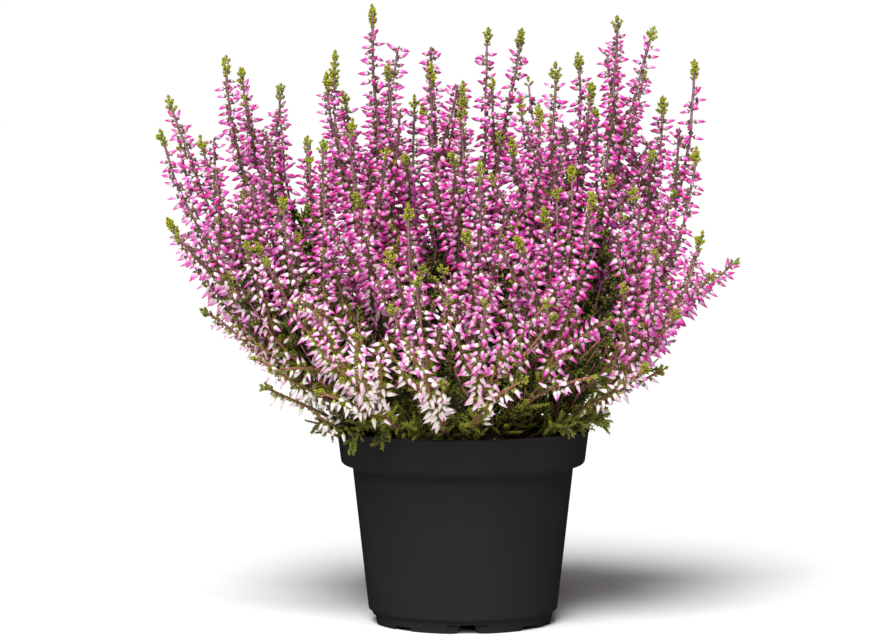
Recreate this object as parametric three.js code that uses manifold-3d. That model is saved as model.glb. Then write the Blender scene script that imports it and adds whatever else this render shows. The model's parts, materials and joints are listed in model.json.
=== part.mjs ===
// Potted bud-bloom heather: a black nursery pot filled with peat, with forked flowering stems
// and low leafy shoots that stand in plain holes in the peat.
// Millimetres, +Z up. The origin is on the pot's axis, on the surface that the pot stands on.
// The heather's best side faces -Y.
import * as THREE from "three";
import { mergeVertices } from "three/addons/utils/BufferGeometryUtils.js";
import Module from "manifold-3d";

const wasm = await Module();
wasm.setup();

// ---- Pot ---------------------------------------------------------------------------------
const POT_HEIGHT = 92;
const RIM_RADIUS = 60; // outside of the lip
const COLLAR_RADIUS = 57.85; // outside of the collar's lower corner
const COLLAR_BOTTOM = 73.7;
const WALL_TOP_RADIUS = 52.2; // where the wall goes up under the collar
const WALL_FOOT_RADIUS = 44.85;
const FOOT_RADIUS = 42;
const FOOT_STEP = 5.5; // height of the foot band under the wall
const WALL = 1.2; // moulded wall thickness
const FLOOR_BOTTOM = 4.6;
const FLOOR_TOP = 6.2;
const FOOT_RING = 2.4; // width of the ring that the pot stands on
const POT_TURN = 3; // degrees from -Y towards +X, where the first wide notch of the foot is
const NOTCHES = 8; // wide and narrow by turns
const WIDE_NOTCH = { width: 9, height: 4.3 };
const NARROW_NOTCH = { width: 12, height: 1.8 };
const RECESS = { width: 20, depth: 1.2 }; // in the outside of the foot, round each wide notch
const DRAIN_RADIUS = 3; // holes in the floor, one behind each notch
const DRAIN_CIRCLE = 31;
const ROUND_SIDES = 32; // sides of the pot's and the peat's circles

// ---- Peat --------------------------------------------------------------------------------
const GAP = 0.35; // clearance between pieces that touch
const PEAT_EDGE = 87.2; // height of the peat at the pot's wall
const PEAT_TOP = 89.4; // height at the middle, which is slightly domed
const ROOTED = 9; // length of stem that stands in the peat
const ROOT_STRAIGHT = 3.5; // straight length of stem just above the peat
const HOLE_CLEARANCE = 0.45; // from corner to corner, so about 0.3 between the flats

// ---- Flowering stems ---------------------------------------------------------------------
const STEM_RADIUS = 1.3;
const CORE_RADIUS = 0.95; // stem between the buds
const BUD_REACH = 6.2; // from the stem's axis to a bud's point
const BUD_PITCH = 8.4; // from one pair of buds to the next pair, which is turned a quarter
const TWIST = 0.3; // turn of the rows of buds from one pair to the next, in radians
const SHORTEST_BUD = 0.6; // a bud that would be shorter than this is left out
const LEAFY_TIP = 9; // green top of a spike
const LEAFY_REACH = 2.6;
const FIRST_BUD = 0.2; // share of a stem's length below its first buds
const BASE_SPREAD = 46; // furthest stem from the pot's axis at the peat
const FAN_HEIGHT = 62; // height of the point that the stems fan out from
const FAN_ANGLE = 1.08; // lean of a stem that stands at BASE_SPREAD, in radians
const BEND = 0.13; // sideways bow of a stem as a share of its chord
const BEND_FULL = 0.32; // lean in radians under which a stem bows less
const BEND_LIMIT = 1.05; // lean in radians at which a stem is straight again
const FORKS = [0.16, 0.24]; // where side stems leave the main stem, as a share of its length
const FORK_REACH = 0.4; // how far a side stem keeps to the main stem's direction, as a share
const CLEAR = 11.5; // distance that stems of different plants bend to keep at their flowers
const CLEAR_AT_BASE = 5; // the same at their feet
const CLEAR_FROM = 0.4; // share of a stem's length from which the full distance holds
const BASE_CLEAR = 7; // from one stem to the next where they come out of the peat
const BASE_LIMIT = 52; // furthest foot of any stem from the pot's axis
const PALE_BELOW = 185; // stems whose tips are lower than this bear pale buds

// The tips of the flowering stems in groups, one for each forked stem: the main stem first, then
// the side stems in the order of FORKS.
const FRONT_STEMS = [
  [[-137, -70, 233], [-136, -30, 248], [-120, -48, 230]],
  [[-132, -20, 228], [-120, -18, 162]],
  [[-135, -48, 192], [-95, -56, 130], [-120, -42, 150]],
  [[-93, -30, 114]],
  [[-113, 22, 267], [-104, -6, 261]],
  [[-88, 40, 254], [-77, 70, 228]],
  [[-81, -70, 203], [-88, -86, 175]],
  [[-61, 14, 269], [-64, -12, 259]],
  [[-64, -48, 228], [-84, -66, 124], [-76, -92, 157]],
  [[-92, -34, 216], [-94, -60, 182]],
  [[-43, 0, 291], [-34, -18, 263]],
  [[-44, 50, 249], [-58, 34, 250]],
  [[-51, -42, 238], [-49, -78, 205]],
  [[-15, 16, 275], [-16, -8, 263]],
  [[-24, 48, 248], [-27, -52, 221]],
  [[0, -22, 255], [-5, -60, 223]],
  [[12, 14, 280], [28, 2, 280]],
  [[43, -14, 264], [35, -44, 244], [22, -40, 229]],
  [[56, 30, 268], [61, 2, 254]],
  [[72, -2, 285], [90, 24, 281]],
  [[109, 8, 265], [97, 44, 248]],
  [[108, -26, 224], [99, -8, 148], [77, -70, 206]],
  [[110, -44, 186], [84, -58, 126], [86, -84, 179]],
  [[137, 95, 167], [104, 74, 128], [121, 40, 163]],
  [[97, 20, 119], [91, -34, 141]],
  [[-25, -86, 200], [-33, -104, 180]],
  [[8, -66, 219], [2, -94, 188]],
  [[49, -56, 217], [24, -100, 186], [36, -80, 198]],
  [[-65, -104, 153], [-66, -78, 116], [-46, -118, 143]],
  [[-20, -114, 169], [-8, -96, 122], [-25, -124, 142]],
  [[10, -122, 159], [28, -98, 124], [38, -110, 159]],
  [[58, -80, 205], [60, -76, 122], [65, -92, 150]],
];
const BACK_STEMS = 8; // on the far side, in an arc, tall near the middle and low outside
const BACK_ARC = [14, 166]; // degrees from +X towards +Y
const BACK_TALL = { reach: 72, height: 243, tips: [-7, 8] }; // tips in degrees from the middle
const BACK_LOW = { reach: 121, height: 178, tips: [0, -9, 9] };
const BACK_FRINGE = { drop: 46, draw: 26 }; // the second tip of a low stem is lower and further in

// ---- Low leafy shoots --------------------------------------------------------------------
const SHOOT_RADIUS = 0.9;
const SHOOT_REACH = 2.7;
const SHOOT_PITCH = 4.5;
const SHOOT_FIRST_LEAF = 0.2; // share of a shoot's length below its first leaves
const SHOOT_TIP = 2;
const SHOOT_BASE = 49; // distance of their foot from the pot's axis
// Direction in degrees from +X, reach from the axis and height of each shoot's tip.
const SHOOTS = [
  { turn: 222, reach: 71, height: 84 },
  { turn: 248, reach: 64, height: 99 },
  { turn: 318, reach: 69, height: 92 },
  { turn: 338, reach: 73, height: 95 },
  { turn: 12, reach: 70, height: 93 },
  { turn: 52, reach: 68, height: 98 },
  { turn: 98, reach: 70, height: 92 },
  { turn: 142, reach: 69, height: 97 },
  { turn: 186, reach: 72, height: 90 },
];
const SHOOT_FORK_TURN = 15; // degrees between a shoot and its side shoot
const SHOOT_ARCH = 97.5; // height at which a shoot passes over the pot's lip

const BASE_ROUNDS = 40;
const BEND_ROUNDS = 60;
const BEND_STEP = 0.3;
const BEND_FREEDOM = new THREE.Vector3(0.25, 1, 0.15); // share of each shift that is kept on X, Y and Z
const SEED = 20417;
const ROUTE_POINTS = 20;
const SMALLEST_EDGE = 0.05; // shorter edges are dropped where stems join
const SAME_POINT = 1e-3;
const DEGREE = Math.PI / 180;
const UP = new THREE.Vector3(0, 0, 1);

let state = SEED;
// A repeatable draw between low and high.
function draw(low, high) {
  state = (state * 16807) % 2147483647;
  return low + ((high - low) * state) / 2147483647;
}

// ---- Solids ------------------------------------------------------------------------------
// A closed three.js geometry as a solid that can be cut and joined.
function solidOf(geometry) {
  const plain = geometry.clone();
  plain.deleteAttribute("normal");
  plain.deleteAttribute("uv");
  const merged = mergeVertices(plain, SAME_POINT);
  return new wasm.Manifold(
    new wasm.Mesh({
      numProp: 3,
      vertProperties: merged.attributes.position.array,
      triVerts: new Uint32Array(merged.index.array),
    }),
  );
}

function geometryOf(solid) {
  const mesh = solid.getMesh();
  return new THREE.BufferGeometry()
    .setAttribute("position", new THREE.BufferAttribute(mesh.vertProperties, 3))
    .setIndex(new THREE.BufferAttribute(mesh.triVerts, 1));
}

function meshOf(name, solid, material) {
  const mesh = new THREE.Mesh(geometryOf(solid), material);
  mesh.name = name;
  return mesh;
}

// A profile of [radius, height] points turned round the Z axis.
function turned(profile) {
  const points = profile.map(([radius, height]) => new THREE.Vector2(radius, height));
  return solidOf(new THREE.LatheGeometry(points, ROUND_SIDES).rotateX(Math.PI / 2));
}

// ---- Pot and peat ------------------------------------------------------------------------
const INNER_WALL = [
  [FOOT_RADIUS, FLOOR_TOP],
  [WALL_FOOT_RADIUS - WALL, FLOOR_TOP + 2.2],
  [WALL_TOP_RADIUS - WALL, COLLAR_BOTTOM + WALL],
  [COLLAR_RADIUS - 2.2, COLLAR_BOTTOM + 2.4],
  [COLLAR_RADIUS - WALL, COLLAR_BOTTOM + 5],
  [RIM_RADIUS - 2, POT_HEIGHT - 1],
];

function pot() {
  const outside = [
    [0, FLOOR_BOTTOM],
    [FOOT_RADIUS - FOOT_RING, FLOOR_BOTTOM],
    [FOOT_RADIUS - FOOT_RING, 0],
    [FOOT_RADIUS, 0],
    [FOOT_RADIUS + 1, FOOT_STEP],
    [WALL_FOOT_RADIUS, FOOT_STEP + 1.5],
    [WALL_TOP_RADIUS, COLLAR_BOTTOM],
    [COLLAR_RADIUS - 1.6, COLLAR_BOTTOM + 1],
    [COLLAR_RADIUS, COLLAR_BOTTOM + 4],
    [RIM_RADIUS - 0.6, POT_HEIGHT - 2],
    [RIM_RADIUS, POT_HEIGHT - 0.9],
    [RIM_RADIUS - 0.8, POT_HEIGHT],
  ];
  const inside = [...INNER_WALL].reverse();
  let body = turned([...outside, ...inside, [0, FLOOR_TOP]]);
  const radial = 8; // length of the cutters, more than the foot ring's width
  const wide = new THREE.BoxGeometry(radial, WIDE_NOTCH.width, 2 * WIDE_NOTCH.height);
  const narrow = new THREE.BoxGeometry(radial, NARROW_NOTCH.width, 2 * NARROW_NOTCH.height);
  const recess = new THREE.BoxGeometry(radial, RECESS.width, 2 * WIDE_NOTCH.height);
  const drain = new THREE.CylinderGeometry(DRAIN_RADIUS, DRAIN_RADIUS, 8, 8).rotateX(Math.PI / 2);
  const middle = FOOT_RADIUS - FOOT_RING / 2;
  for (let i = 0; i < NOTCHES; i++) {
    const turn = new THREE.Matrix4().makeRotationZ((-90 + POT_TURN + (i * 360) / NOTCHES) * DEGREE);
    const cuts = [drain.clone().translate(DRAIN_CIRCLE, 0, FLOOR_TOP - 1)];
    if (i % 2) cuts.push(narrow.clone().translate(middle, 0, 0));
    else {
      cuts.push(wide.clone().translate(middle, 0, 0));
      cuts.push(recess.clone().translate(FOOT_RADIUS - RECESS.depth + radial / 2, 0, 0));
    }
    for (const cut of cuts) body = body.subtract(solidOf(cut.applyMatrix4(turn)));
  }
  return body;
}

function peat(holes) {
  const side = INNER_WALL.map(([radius, height]) => [radius - GAP, height + GAP]);
  const edge = side.pop();
  const [collarRadius, collarHeight] = side.at(-1);
  const share = (PEAT_EDGE - collarHeight) / (edge[1] - collarHeight);
  const edgeRadius = collarRadius + share * (edge[0] - collarRadius);
  const body = turned([
    [0, FLOOR_TOP + GAP],
    ...side,
    [edgeRadius, PEAT_EDGE],
    [0, PEAT_TOP],
  ]);
  return holes.reduce((rest, hole) => rest.subtract(hole), body);
}

// ---- Routes of the stems -----------------------------------------------------------------
function peatHeight(radius) {
  return PEAT_TOP - ((PEAT_TOP - PEAT_EDGE) * radius) / COLLAR_RADIUS;
}

// Where a stem that ends at this tip comes out of the peat: the further it leans, the further out.
function baseOf(tip) {
  const reach = Math.hypot(tip.x, tip.y);
  const lean = Math.atan2(reach, tip.z - FAN_HEIGHT);
  const radius = (BASE_SPREAD * Math.min(lean, FAN_ANGLE)) / FAN_ANGLE;
  return new THREE.Vector3((tip.x * radius) / reach, (tip.y * radius) / reach, 0);
}

// Moves the feet of the plants apart and sets them on the peat.
function spreadBases(bases) {
  for (let round = 0; round < BASE_ROUNDS; round++) {
    for (let i = 0; i < bases.length; i++) {
      for (let j = i + 1; j < bases.length; j++) {
        const push = bases[i].clone().sub(bases[j]);
        const apart = push.length();
        if (apart >= BASE_CLEAR) continue;
        push.multiplyScalar((0.5 * (BASE_CLEAR - apart)) / apart);
        bases[i].add(push);
        bases[j].sub(push);
      }
    }
    for (const base of bases) base.clampLength(0, BASE_LIMIT);
  }
  for (const base of bases) base.z = peatHeight(base.length());
}

// Points along a curve that leaves the peat leaning out and then turns up. A stem that leans
// further than BEND_LIMIT arches up over the lip of the pot instead.
function mainRoute(base, tip) {
  const chord = tip.clone().sub(base);
  const lean = chord.angleTo(UP);
  const side = new THREE.Vector3().crossVectors(chord, UP).normalize();
  const down = new THREE.Vector3().crossVectors(chord, side).normalize();
  if (down.z > 0) down.negate();
  const upright = Math.min(1, lean / BEND_FULL);
  const bow = 2 * BEND * upright * Math.sin((lean / BEND_LIMIT) * Math.PI) * draw(0.8, 1.2);
  const middle = base.clone().lerp(tip, 0.5).addScaledVector(down, bow * chord.length());
  return new THREE.QuadraticBezierCurve3(base, middle, tip).getPoints(ROUTE_POINTS - 1);
}

// Points along a side stem, which leaves the main route's fork along it.
function sideRoute(main, fork, tip) {
  const index = Math.round(fork * (ROUTE_POINTS - 1));
  const start = main[index];
  const along = main[index + 1].clone().sub(main[index - 1]).normalize();
  const reach = FORK_REACH * start.distanceTo(tip);
  const middle = start.clone().addScaledVector(along, reach);
  const points = new THREE.QuadraticBezierCurve3(start, middle, tip).getPoints(ROUTE_POINTS - 1);
  return { points, index };
}

function backTips() {
  const groups = [];
  for (let i = 0; i < BACK_STEMS; i++) {
    const spot = i % 2 ? BACK_LOW : BACK_TALL;
    const turn = BACK_ARC[0] + ((BACK_ARC[1] - BACK_ARC[0]) * (i + 0.5)) / BACK_STEMS;
    const group = [];
    for (const [k, aside] of spot.tips.entries()) {
      const fringe = spot === BACK_LOW && k === 1;
      const angle = (turn + aside + draw(-2, 2)) * DEGREE;
      const reach = spot.reach + draw(-6, 6) - (fringe ? BACK_FRINGE.draw : 0);
      const height = spot.height + draw(-8, 8) - (fringe ? BACK_FRINGE.drop : 0);
      group.push(new THREE.Vector3(reach * Math.cos(angle), reach * Math.sin(angle), height));
    }
    groups.push(group);
  }
  return groups;
}

function stemRoutes(groups, bases) {
  const routes = [];
  groups.forEach((tips, plant) => {
    const points = mainRoute(bases[plant], tips[0]);
    const main = { plant, points, parent: null, kind: FLOWERING, radius: STEM_RADIUS };
    routes.push(main);
    tips.slice(1).forEach((tip, k) => {
      const { points, index } = sideRoute(main.points, FORKS[k], tip);
      routes.push({ plant, points, parent: main, index, kind: FLOWERING, radius: CORE_RADIUS });
    });
  });
  return routes;
}

// Bends the routes of different plants clear of each other, mostly in depth, so that the outline
// stays. The shifts are smoothed along each stem, and each stem's foot stays where it is.
function bendClear(routes) {
  const last = ROUTE_POINTS - 1;
  const shifts = routes.map((route) => route.points.map(() => new THREE.Vector3()));
  const spot = (r, i) => routes[r].points[i].clone().add(shifts[r][i]);
  for (let round = 0; round < BEND_ROUNDS; round++) {
    const spots = routes.map((route, r) => route.points.map((point, i) => spot(r, i)));
    const pushes = shifts.map((row) => row.map(() => new THREE.Vector3()));
    for (let a = 0; a < routes.length; a++) {
      for (let b = a + 1; b < routes.length; b++) {
        if (routes[a].plant === routes[b].plant) continue;
        for (let i = 1; i <= last; i++) {
          for (let j = 1; j <= last; j++) {
            const share = Math.min(1, Math.min(i, j) / (CLEAR_FROM * last));
            const wide = (routes[a].kind.clear + routes[b].kind.clear) / 2;
            const need = CLEAR_AT_BASE + (wide - CLEAR_AT_BASE) * share;
            const apart = spots[a][i].distanceTo(spots[b][j]);
            if (apart >= need) continue;
            const push = spots[a][i].clone().sub(spots[b][j]);
            push.multiplyScalar((BEND_STEP * (need - apart)) / apart);
            push.multiply(BEND_FREEDOM);
            pushes[a][i].add(push);
            pushes[b][j].sub(push);
          }
        }
      }
    }
    routes.forEach((route, r) => {
      const row = shifts[r].map((shift, i) => shift.clone().add(pushes[r][i]));
      row[0].set(0, 0, 0);
      if (route.parent) row[0].copy(shifts[routes.indexOf(route.parent)][route.index]);
      for (let i = 1; i <= last; i++) {
        const next = row[Math.min(i + 1, last)];
        shifts[r][i] = row[i].clone().multiplyScalar(0.5);
        shifts[r][i].addScaledVector(row[i - 1], 0.25).addScaledVector(next, 0.25);
      }
      shifts[r][0] = row[0].clone();
    });
  }
  routes.forEach((route, r) => route.points.forEach((point, i) => point.add(shifts[r][i])));
}

// ---- Bodies of the stems -----------------------------------------------------------------
// Room round a spot before it meets the pot's lip.
function roomOverLip(spot) {
  const out = Math.max(0, Math.hypot(spot.x, spot.y) - RIM_RADIUS);
  const above = Math.max(0, spot.z - POT_HEIGHT);
  return Math.hypot(out, above) - GAP;
}

// Half of the way from a spot on a stem to the nearest other stem.
function roomBetween(spot, route, routes) {
  let nearest = Infinity;
  for (const other of routes) {
    if (other === route) continue;
    for (const point of other.dense) nearest = Math.min(nearest, spot.distanceTo(point));
  }
  return (nearest - 2 * GAP) / 2;
}

// A stem with four corners on each ring. Buds or leaves are corners drawn out from the stem in
// opposite pairs, and each pair is turned about a quarter from the last, in four slow spirals.
function ringedSolid(rings, tip, across) {
  const vertices = [];
  for (const { centre, along, reach, twist = 0 } of rings) {
    const a = across.clone().addScaledVector(along, -across.dot(along)).normalize();
    const b = new THREE.Vector3().crossVectors(along, a);
    reach.forEach((radius, j) => {
      const angle = (j * Math.PI) / 2 + twist;
      const corner = centre.clone().addScaledVector(a, radius * Math.cos(angle));
      corner.addScaledVector(b, radius * Math.sin(angle));
      vertices.push(...corner.toArray());
    });
  }
  vertices.push(...tip.toArray());
  const faces = [[0, 2, 1], [0, 3, 2]];
  for (let k = 0; k + 1 < rings.length; k++) {
    for (let j = 0; j < 4; j++) {
      const next = (j + 1) % 4;
      const [low, lowNext, high, highNext] = [4 * k + j, 4 * k + next, 4 * k + 4 + j, 4 * k + 4 + next];
      const rising = rings[k].reach[j] + rings[k + 1].reach[next];
      const falling = rings[k].reach[next] + rings[k + 1].reach[j];
      if (rising <= falling) faces.push([low, lowNext, highNext], [low, highNext, high]);
      else faces.push([low, lowNext, high], [lowNext, highNext, high]);
    }
  }
  const top = 4 * (rings.length - 1);
  for (let j = 0; j < 4; j++) faces.push([top + j, top + ((j + 1) % 4), top + 4]);
  const geometry = new THREE.BufferGeometry();
  geometry.setAttribute("position", new THREE.Float32BufferAttribute(vertices, 3));
  geometry.setIndex(faces.flat());
  return solidOf(geometry);
}

// The part of a stem that stands in the peat, straight and a little way out of it.
function rootRings(route, radius, extra) {
  const centre = route.curve.getPointAt(0);
  const along = route.curve.getTangentAt(0);
  const reach = Array(4).fill(radius);
  return [-ROOTED - extra, ROOT_STRAIGHT + 6 * extra].map((way) => ({
    centre: centre.clone().addScaledVector(along, way),
    along,
    reach,
  }));
}

function holeFor(route) {
  const rings = rootRings(route, route.radius + HOLE_CLEARANCE, GAP);
  const tip = rings[1].centre.clone().addScaledVector(rings[1].along, 1);
  return ringedSolid(rings, tip, route.across);
}

// One stem with its buds or leaves, which grow shorter where another stem or the lip is close.
function stemSolid(route, routes) {
  const { curve, kind, radius, across } = route;
  const length = curve.getLength();
  const rings = route.parent ? [] : rootRings(route, radius, 0);
  if (route.parent) {
    const centre = curve.getPointAt(0);
    rings.push({ centre, along: curve.getTangentAt(0), reach: Array(4).fill(kind.core) });
  }
  const leafyFrom = 1 - kind.tip / length;
  const from = kind.first;
  const count = Math.max(3, Math.round(((leafyFrom - from) * length) / kind.pitch));
  const places = [];
  for (let i = 0; i <= count; i++) {
    const share = from + ((leafyFrom - from) * i) / count;
    places.push({ share, reach: i < count ? kind.reach : LEAFY_REACH });
  }
  if (kind.tip > kind.pitch) places.push({ share: (1 + leafyFrom) / 2, reach: LEAFY_REACH });
  places.forEach(({ share, reach }, i) => {
    const centre = curve.getPointAt(share);
    const room = Math.min(reach, roomOverLip(centre), roomBetween(centre, route, routes));
    const bare = room < kind.core + SHORTEST_BUD;
    if (bare && i % 2) return;
    const out = bare ? kind.core : room;
    const pair = i % 2 ? [kind.core, out, kind.core, out] : [out, kind.core, out, kind.core];
    rings.push({ centre, along: curve.getTangentAt(share), reach: pair, twist: i * TWIST });
  });
  return ringedSolid(rings, curve.getPointAt(1), across);
}

// Joins solids into one body. A tiny pocket that is closed off at a fork comes out as a body of
// its own with a negative volume, and leaving it out fills it.
function joined(solids) {
  const whole = solids.reduce((sum, solid) => sum.add(solid)).simplify(SMALLEST_EDGE);
  const bodies = solidOf(geometryOf(whole)).decompose();
  return bodies.reduce((largest, body) => (body.volume() > largest.volume() ? body : largest));
}

// ---- The plants --------------------------------------------------------------------------
const FLOWERING = {
  core: CORE_RADIUS,
  reach: BUD_REACH,
  pitch: BUD_PITCH,
  first: FIRST_BUD,
  tip: LEAFY_TIP,
  clear: CLEAR,
};
const LEAFY = {
  core: SHOOT_RADIUS,
  reach: SHOOT_REACH,
  pitch: SHOOT_PITCH,
  first: SHOOT_FIRST_LEAF,
  tip: SHOOT_TIP,
  clear: CLEAR_AT_BASE,
};

function shootRoutes(bases, firstPlant) {
  const routes = [];
  SHOOTS.forEach(({ turn, reach, height }, i) => {
    for (const aside of [0, SHOOT_FORK_TURN]) {
      const angle = (turn + aside) * DEGREE;
      const far = reach - aside / 4;
      const base = bases[i];
      const tip = new THREE.Vector3(far * Math.cos(angle), far * Math.sin(angle), height + aside / 5);
      const middle = base.clone().lerp(tip, 0.5);
      middle.z = 2 * SHOOT_ARCH - middle.z;
      const points = new THREE.QuadraticBezierCurve3(base, middle, tip).getPoints(ROUTE_POINTS - 1);
      const parent = aside ? routes.at(-1) : null;
      routes.push({ plant: firstPlant + i, points, parent, index: 0, kind: LEAFY, radius: SHOOT_RADIUS });
    }
  });
  return routes;
}

const groups = FRONT_STEMS.map((group) => group.map((tip) => new THREE.Vector3(...tip)));
groups.push(...backTips());
const shootBases = SHOOTS.map(({ turn }) =>
  new THREE.Vector3(SHOOT_BASE, 0, 0).applyAxisAngle(UP, turn * DEGREE),
);
const bases = [...groups.map((tips) => baseOf(tips[0])), ...shootBases];
spreadBases(bases);
const plants = groups.length;
const routes = [...stemRoutes(groups, bases), ...shootRoutes(bases.slice(plants), plants)];
bendClear(routes);
for (const route of routes) {
  const tip = route.points.at(-1);
  const turn = Math.atan2(tip.y, tip.x);
  route.across = new THREE.Vector3(-Math.sin(turn), Math.cos(turn), 0);
  route.curve = new THREE.CatmullRomCurve3(route.points, false, "catmullrom", 0.5);
  route.dense = route.curve.getPoints(4 * ROUTE_POINTS);
}

const potPlastic = new THREE.MeshStandardMaterial({ color: 0x262626, roughness: 0.5, metalness: 0 });
const peatFibre = new THREE.MeshStandardMaterial({ color: 0x3a2a1d, roughness: 1, metalness: 0 });
const magentaBuds = new THREE.MeshStandardMaterial({ color: 0xcf5fa6, roughness: 0.7, metalness: 0 });
const paleBuds = new THREE.MeshStandardMaterial({ color: 0xe3a9c8, roughness: 0.7, metalness: 0 });
const greenLeaf = new THREE.MeshStandardMaterial({ color: 0x5d6b2c, roughness: 0.8, metalness: 0 });

const pottedHeather = new THREE.Group();
const holes = routes.filter((route) => !route.parent).map(holeFor);
pottedHeather.add(meshOf("pot", pot(), potPlastic));
pottedHeather.add(meshOf("peat", peat(holes), peatFibre));
for (let plant = 0; plant <= routes.at(-1).plant; plant++) {
  const own = routes.filter((route) => route.plant === plant);
  const leafy = own[0].kind === LEAFY;
  const number = String(leafy ? plant - plants + 1 : plant + 1).padStart(2, "0");
  const name = (leafy ? "leafy_shoot_" : "flowering_stem_") + number;
  const low = own[0].points.at(-1).z < PALE_BELOW;
  const solid = joined(own.map((route) => stemSolid(route, routes)));
  pottedHeather.add(meshOf(name, solid, leafy ? greenLeaf : low ? paleBuds : magentaBuds));
}

export default pottedHeather;
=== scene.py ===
"""Potted bud-bloom heather: a black nursery pot of peat, forty flowering stems and nine leafy shoots.

Metres, +Z up, the origin on the pot's axis where it stands, the heather's best side towards -Y.
"""

import functools
import json
import math
from dataclasses import dataclass, field

import bpy
import numpy as np
from bpy.props import FloatProperty, FloatVectorProperty, IntProperty, PointerProperty
from mathutils import Matrix, Vector, noise

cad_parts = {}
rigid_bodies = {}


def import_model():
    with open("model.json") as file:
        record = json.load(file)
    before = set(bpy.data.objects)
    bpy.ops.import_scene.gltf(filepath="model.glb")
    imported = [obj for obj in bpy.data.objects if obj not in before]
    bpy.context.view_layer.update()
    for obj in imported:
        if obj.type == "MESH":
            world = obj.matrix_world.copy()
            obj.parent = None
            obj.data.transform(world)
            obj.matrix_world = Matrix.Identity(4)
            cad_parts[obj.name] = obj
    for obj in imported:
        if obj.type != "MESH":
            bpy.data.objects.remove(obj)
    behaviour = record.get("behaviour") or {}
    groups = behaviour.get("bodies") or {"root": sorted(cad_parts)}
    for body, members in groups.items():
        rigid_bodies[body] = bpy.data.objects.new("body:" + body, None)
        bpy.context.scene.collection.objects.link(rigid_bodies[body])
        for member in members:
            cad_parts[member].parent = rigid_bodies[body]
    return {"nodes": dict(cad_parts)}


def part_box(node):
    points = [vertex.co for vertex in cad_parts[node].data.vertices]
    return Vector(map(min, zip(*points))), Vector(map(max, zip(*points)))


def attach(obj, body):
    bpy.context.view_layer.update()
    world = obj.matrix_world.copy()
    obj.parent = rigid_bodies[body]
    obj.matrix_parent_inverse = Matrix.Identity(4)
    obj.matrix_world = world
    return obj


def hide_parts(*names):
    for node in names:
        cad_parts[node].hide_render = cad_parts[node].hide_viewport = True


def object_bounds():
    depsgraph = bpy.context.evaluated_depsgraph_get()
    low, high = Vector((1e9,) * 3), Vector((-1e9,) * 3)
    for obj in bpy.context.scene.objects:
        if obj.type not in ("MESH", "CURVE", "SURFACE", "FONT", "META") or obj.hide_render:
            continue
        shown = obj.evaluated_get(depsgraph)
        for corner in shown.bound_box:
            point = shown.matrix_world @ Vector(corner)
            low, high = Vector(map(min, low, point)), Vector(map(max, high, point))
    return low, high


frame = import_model()
CAD_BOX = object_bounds()

bl_info = {
    "name": "Potted Heather",
    "version": (1, 0, 0),
    "blender": (4, 5, 0),
    "location": "View3D > Sidebar > Heather",
    "description": "Makes a potted bud-bloom heather round its packed frame",
    "category": "Add Mesh",
}

MM = 0.001
DEGREE = math.pi / 180

# ---- Pot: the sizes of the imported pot, in its own places -------------------------------------
POT_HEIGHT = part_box("pot")[1].z
RIM_RADIUS = 60 * MM
COLLAR_RADIUS = 57.85 * MM  # outside of its lower corner
COLLAR_BOTTOM = 73.7 * MM
WALL_TOP_RADIUS = 52.2 * MM
WALL_FOOT_RADIUS = 44.85 * MM
FOOT_RADIUS = 42 * MM
FOOT_STEP = 5.5 * MM
FLOOR_BOTTOM = 4.6 * MM
FLOOR_TOP = 6.2 * MM
FOOT_RING = 2.4 * MM  # width of the ring that the pot stands on
POT_TURN = 3 * DEGREE
NOTCHES = 8  # wide and narrow by turns
WIDE_NOTCH_TOP = 7 * MM  # width of a wide notch above its round corners
NOTCH_CORNER = 4 * MM  # round lower corners of the wall on both sides of a wide notch
NOTCH_HEIGHT = 4.3 * MM
NARROW_NOTCH = (12 * MM, 1.8 * MM)  # width and height
RECESS = (20 * MM, 1.2 * MM)  # width and depth, in the outside of the foot round a wide notch
CUT_CORNER = 1 * MM  # roundness or slope of the recess and the narrow notch
OVERCUT = 1 * MM  # how far a cutter starts below the foot
DRAIN_RADIUS = 3 * MM  # of the holes in the floor, one behind each notch
DRAIN_CIRCLE = 31 * MM
POT_SIDES = 128
SMOOTH_UNDER = 32 * DEGREE  # edges of the pot that are flatter than this are shaded round

# ---- Peat ------------------------------------------------------------------------------------
GAP = 0.35 * MM  # from the peat to the pot
PEAT_EDGE = 87.2 * MM  # height at the wall
PEAT_TOP = 89.4 * MM  # height in the middle
PEAT_LUMP = 9 * MM  # size of the low mounds in the peat's surface

# ---- Routes of the stems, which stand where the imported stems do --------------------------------
BUD_REACH = 7.5 * MM  # from the middle of a stem to the point of a bud
TWIST_RATE = 0.3 / (8.4 * MM)  # slow turn of the rows of buds, radians for each metre of stem
BASE_SPREAD = 46 * MM  # furthest foot of a stem before the feet are moved apart
FAN_HEIGHT = 62 * MM  # height of the point that the stems fan out from
FAN_ANGLE = 1.08  # lean of a stem that stands at BASE_SPREAD, in radians
BEND = 0.13  # bow of a stem as a share of its chord
BEND_FULL = 0.32  # lean in radians under which a stem bows less
BEND_LIMIT = 1.05  # lean in radians at which a stem is straight again
FORKS = [0.16, 0.24]  # where side stems leave the main stem, as shares of its length
FORK_REACH = 0.4  # how far a side stem keeps the main stem's direction, as a share
CLEAR = 11.5 * MM  # distance that stems of different plants bend to keep
CLEAR_AT_BASE = 5 * MM  # the same at their feet
CLEAR_FROM = 0.4  # share of a stem's length from which the full distance holds
BASE_CLEAR = 7 * MM  # from one stem to the next where they leave the peat
BASE_LIMIT = 52 * MM  # furthest foot of any stem from the pot's axis
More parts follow.
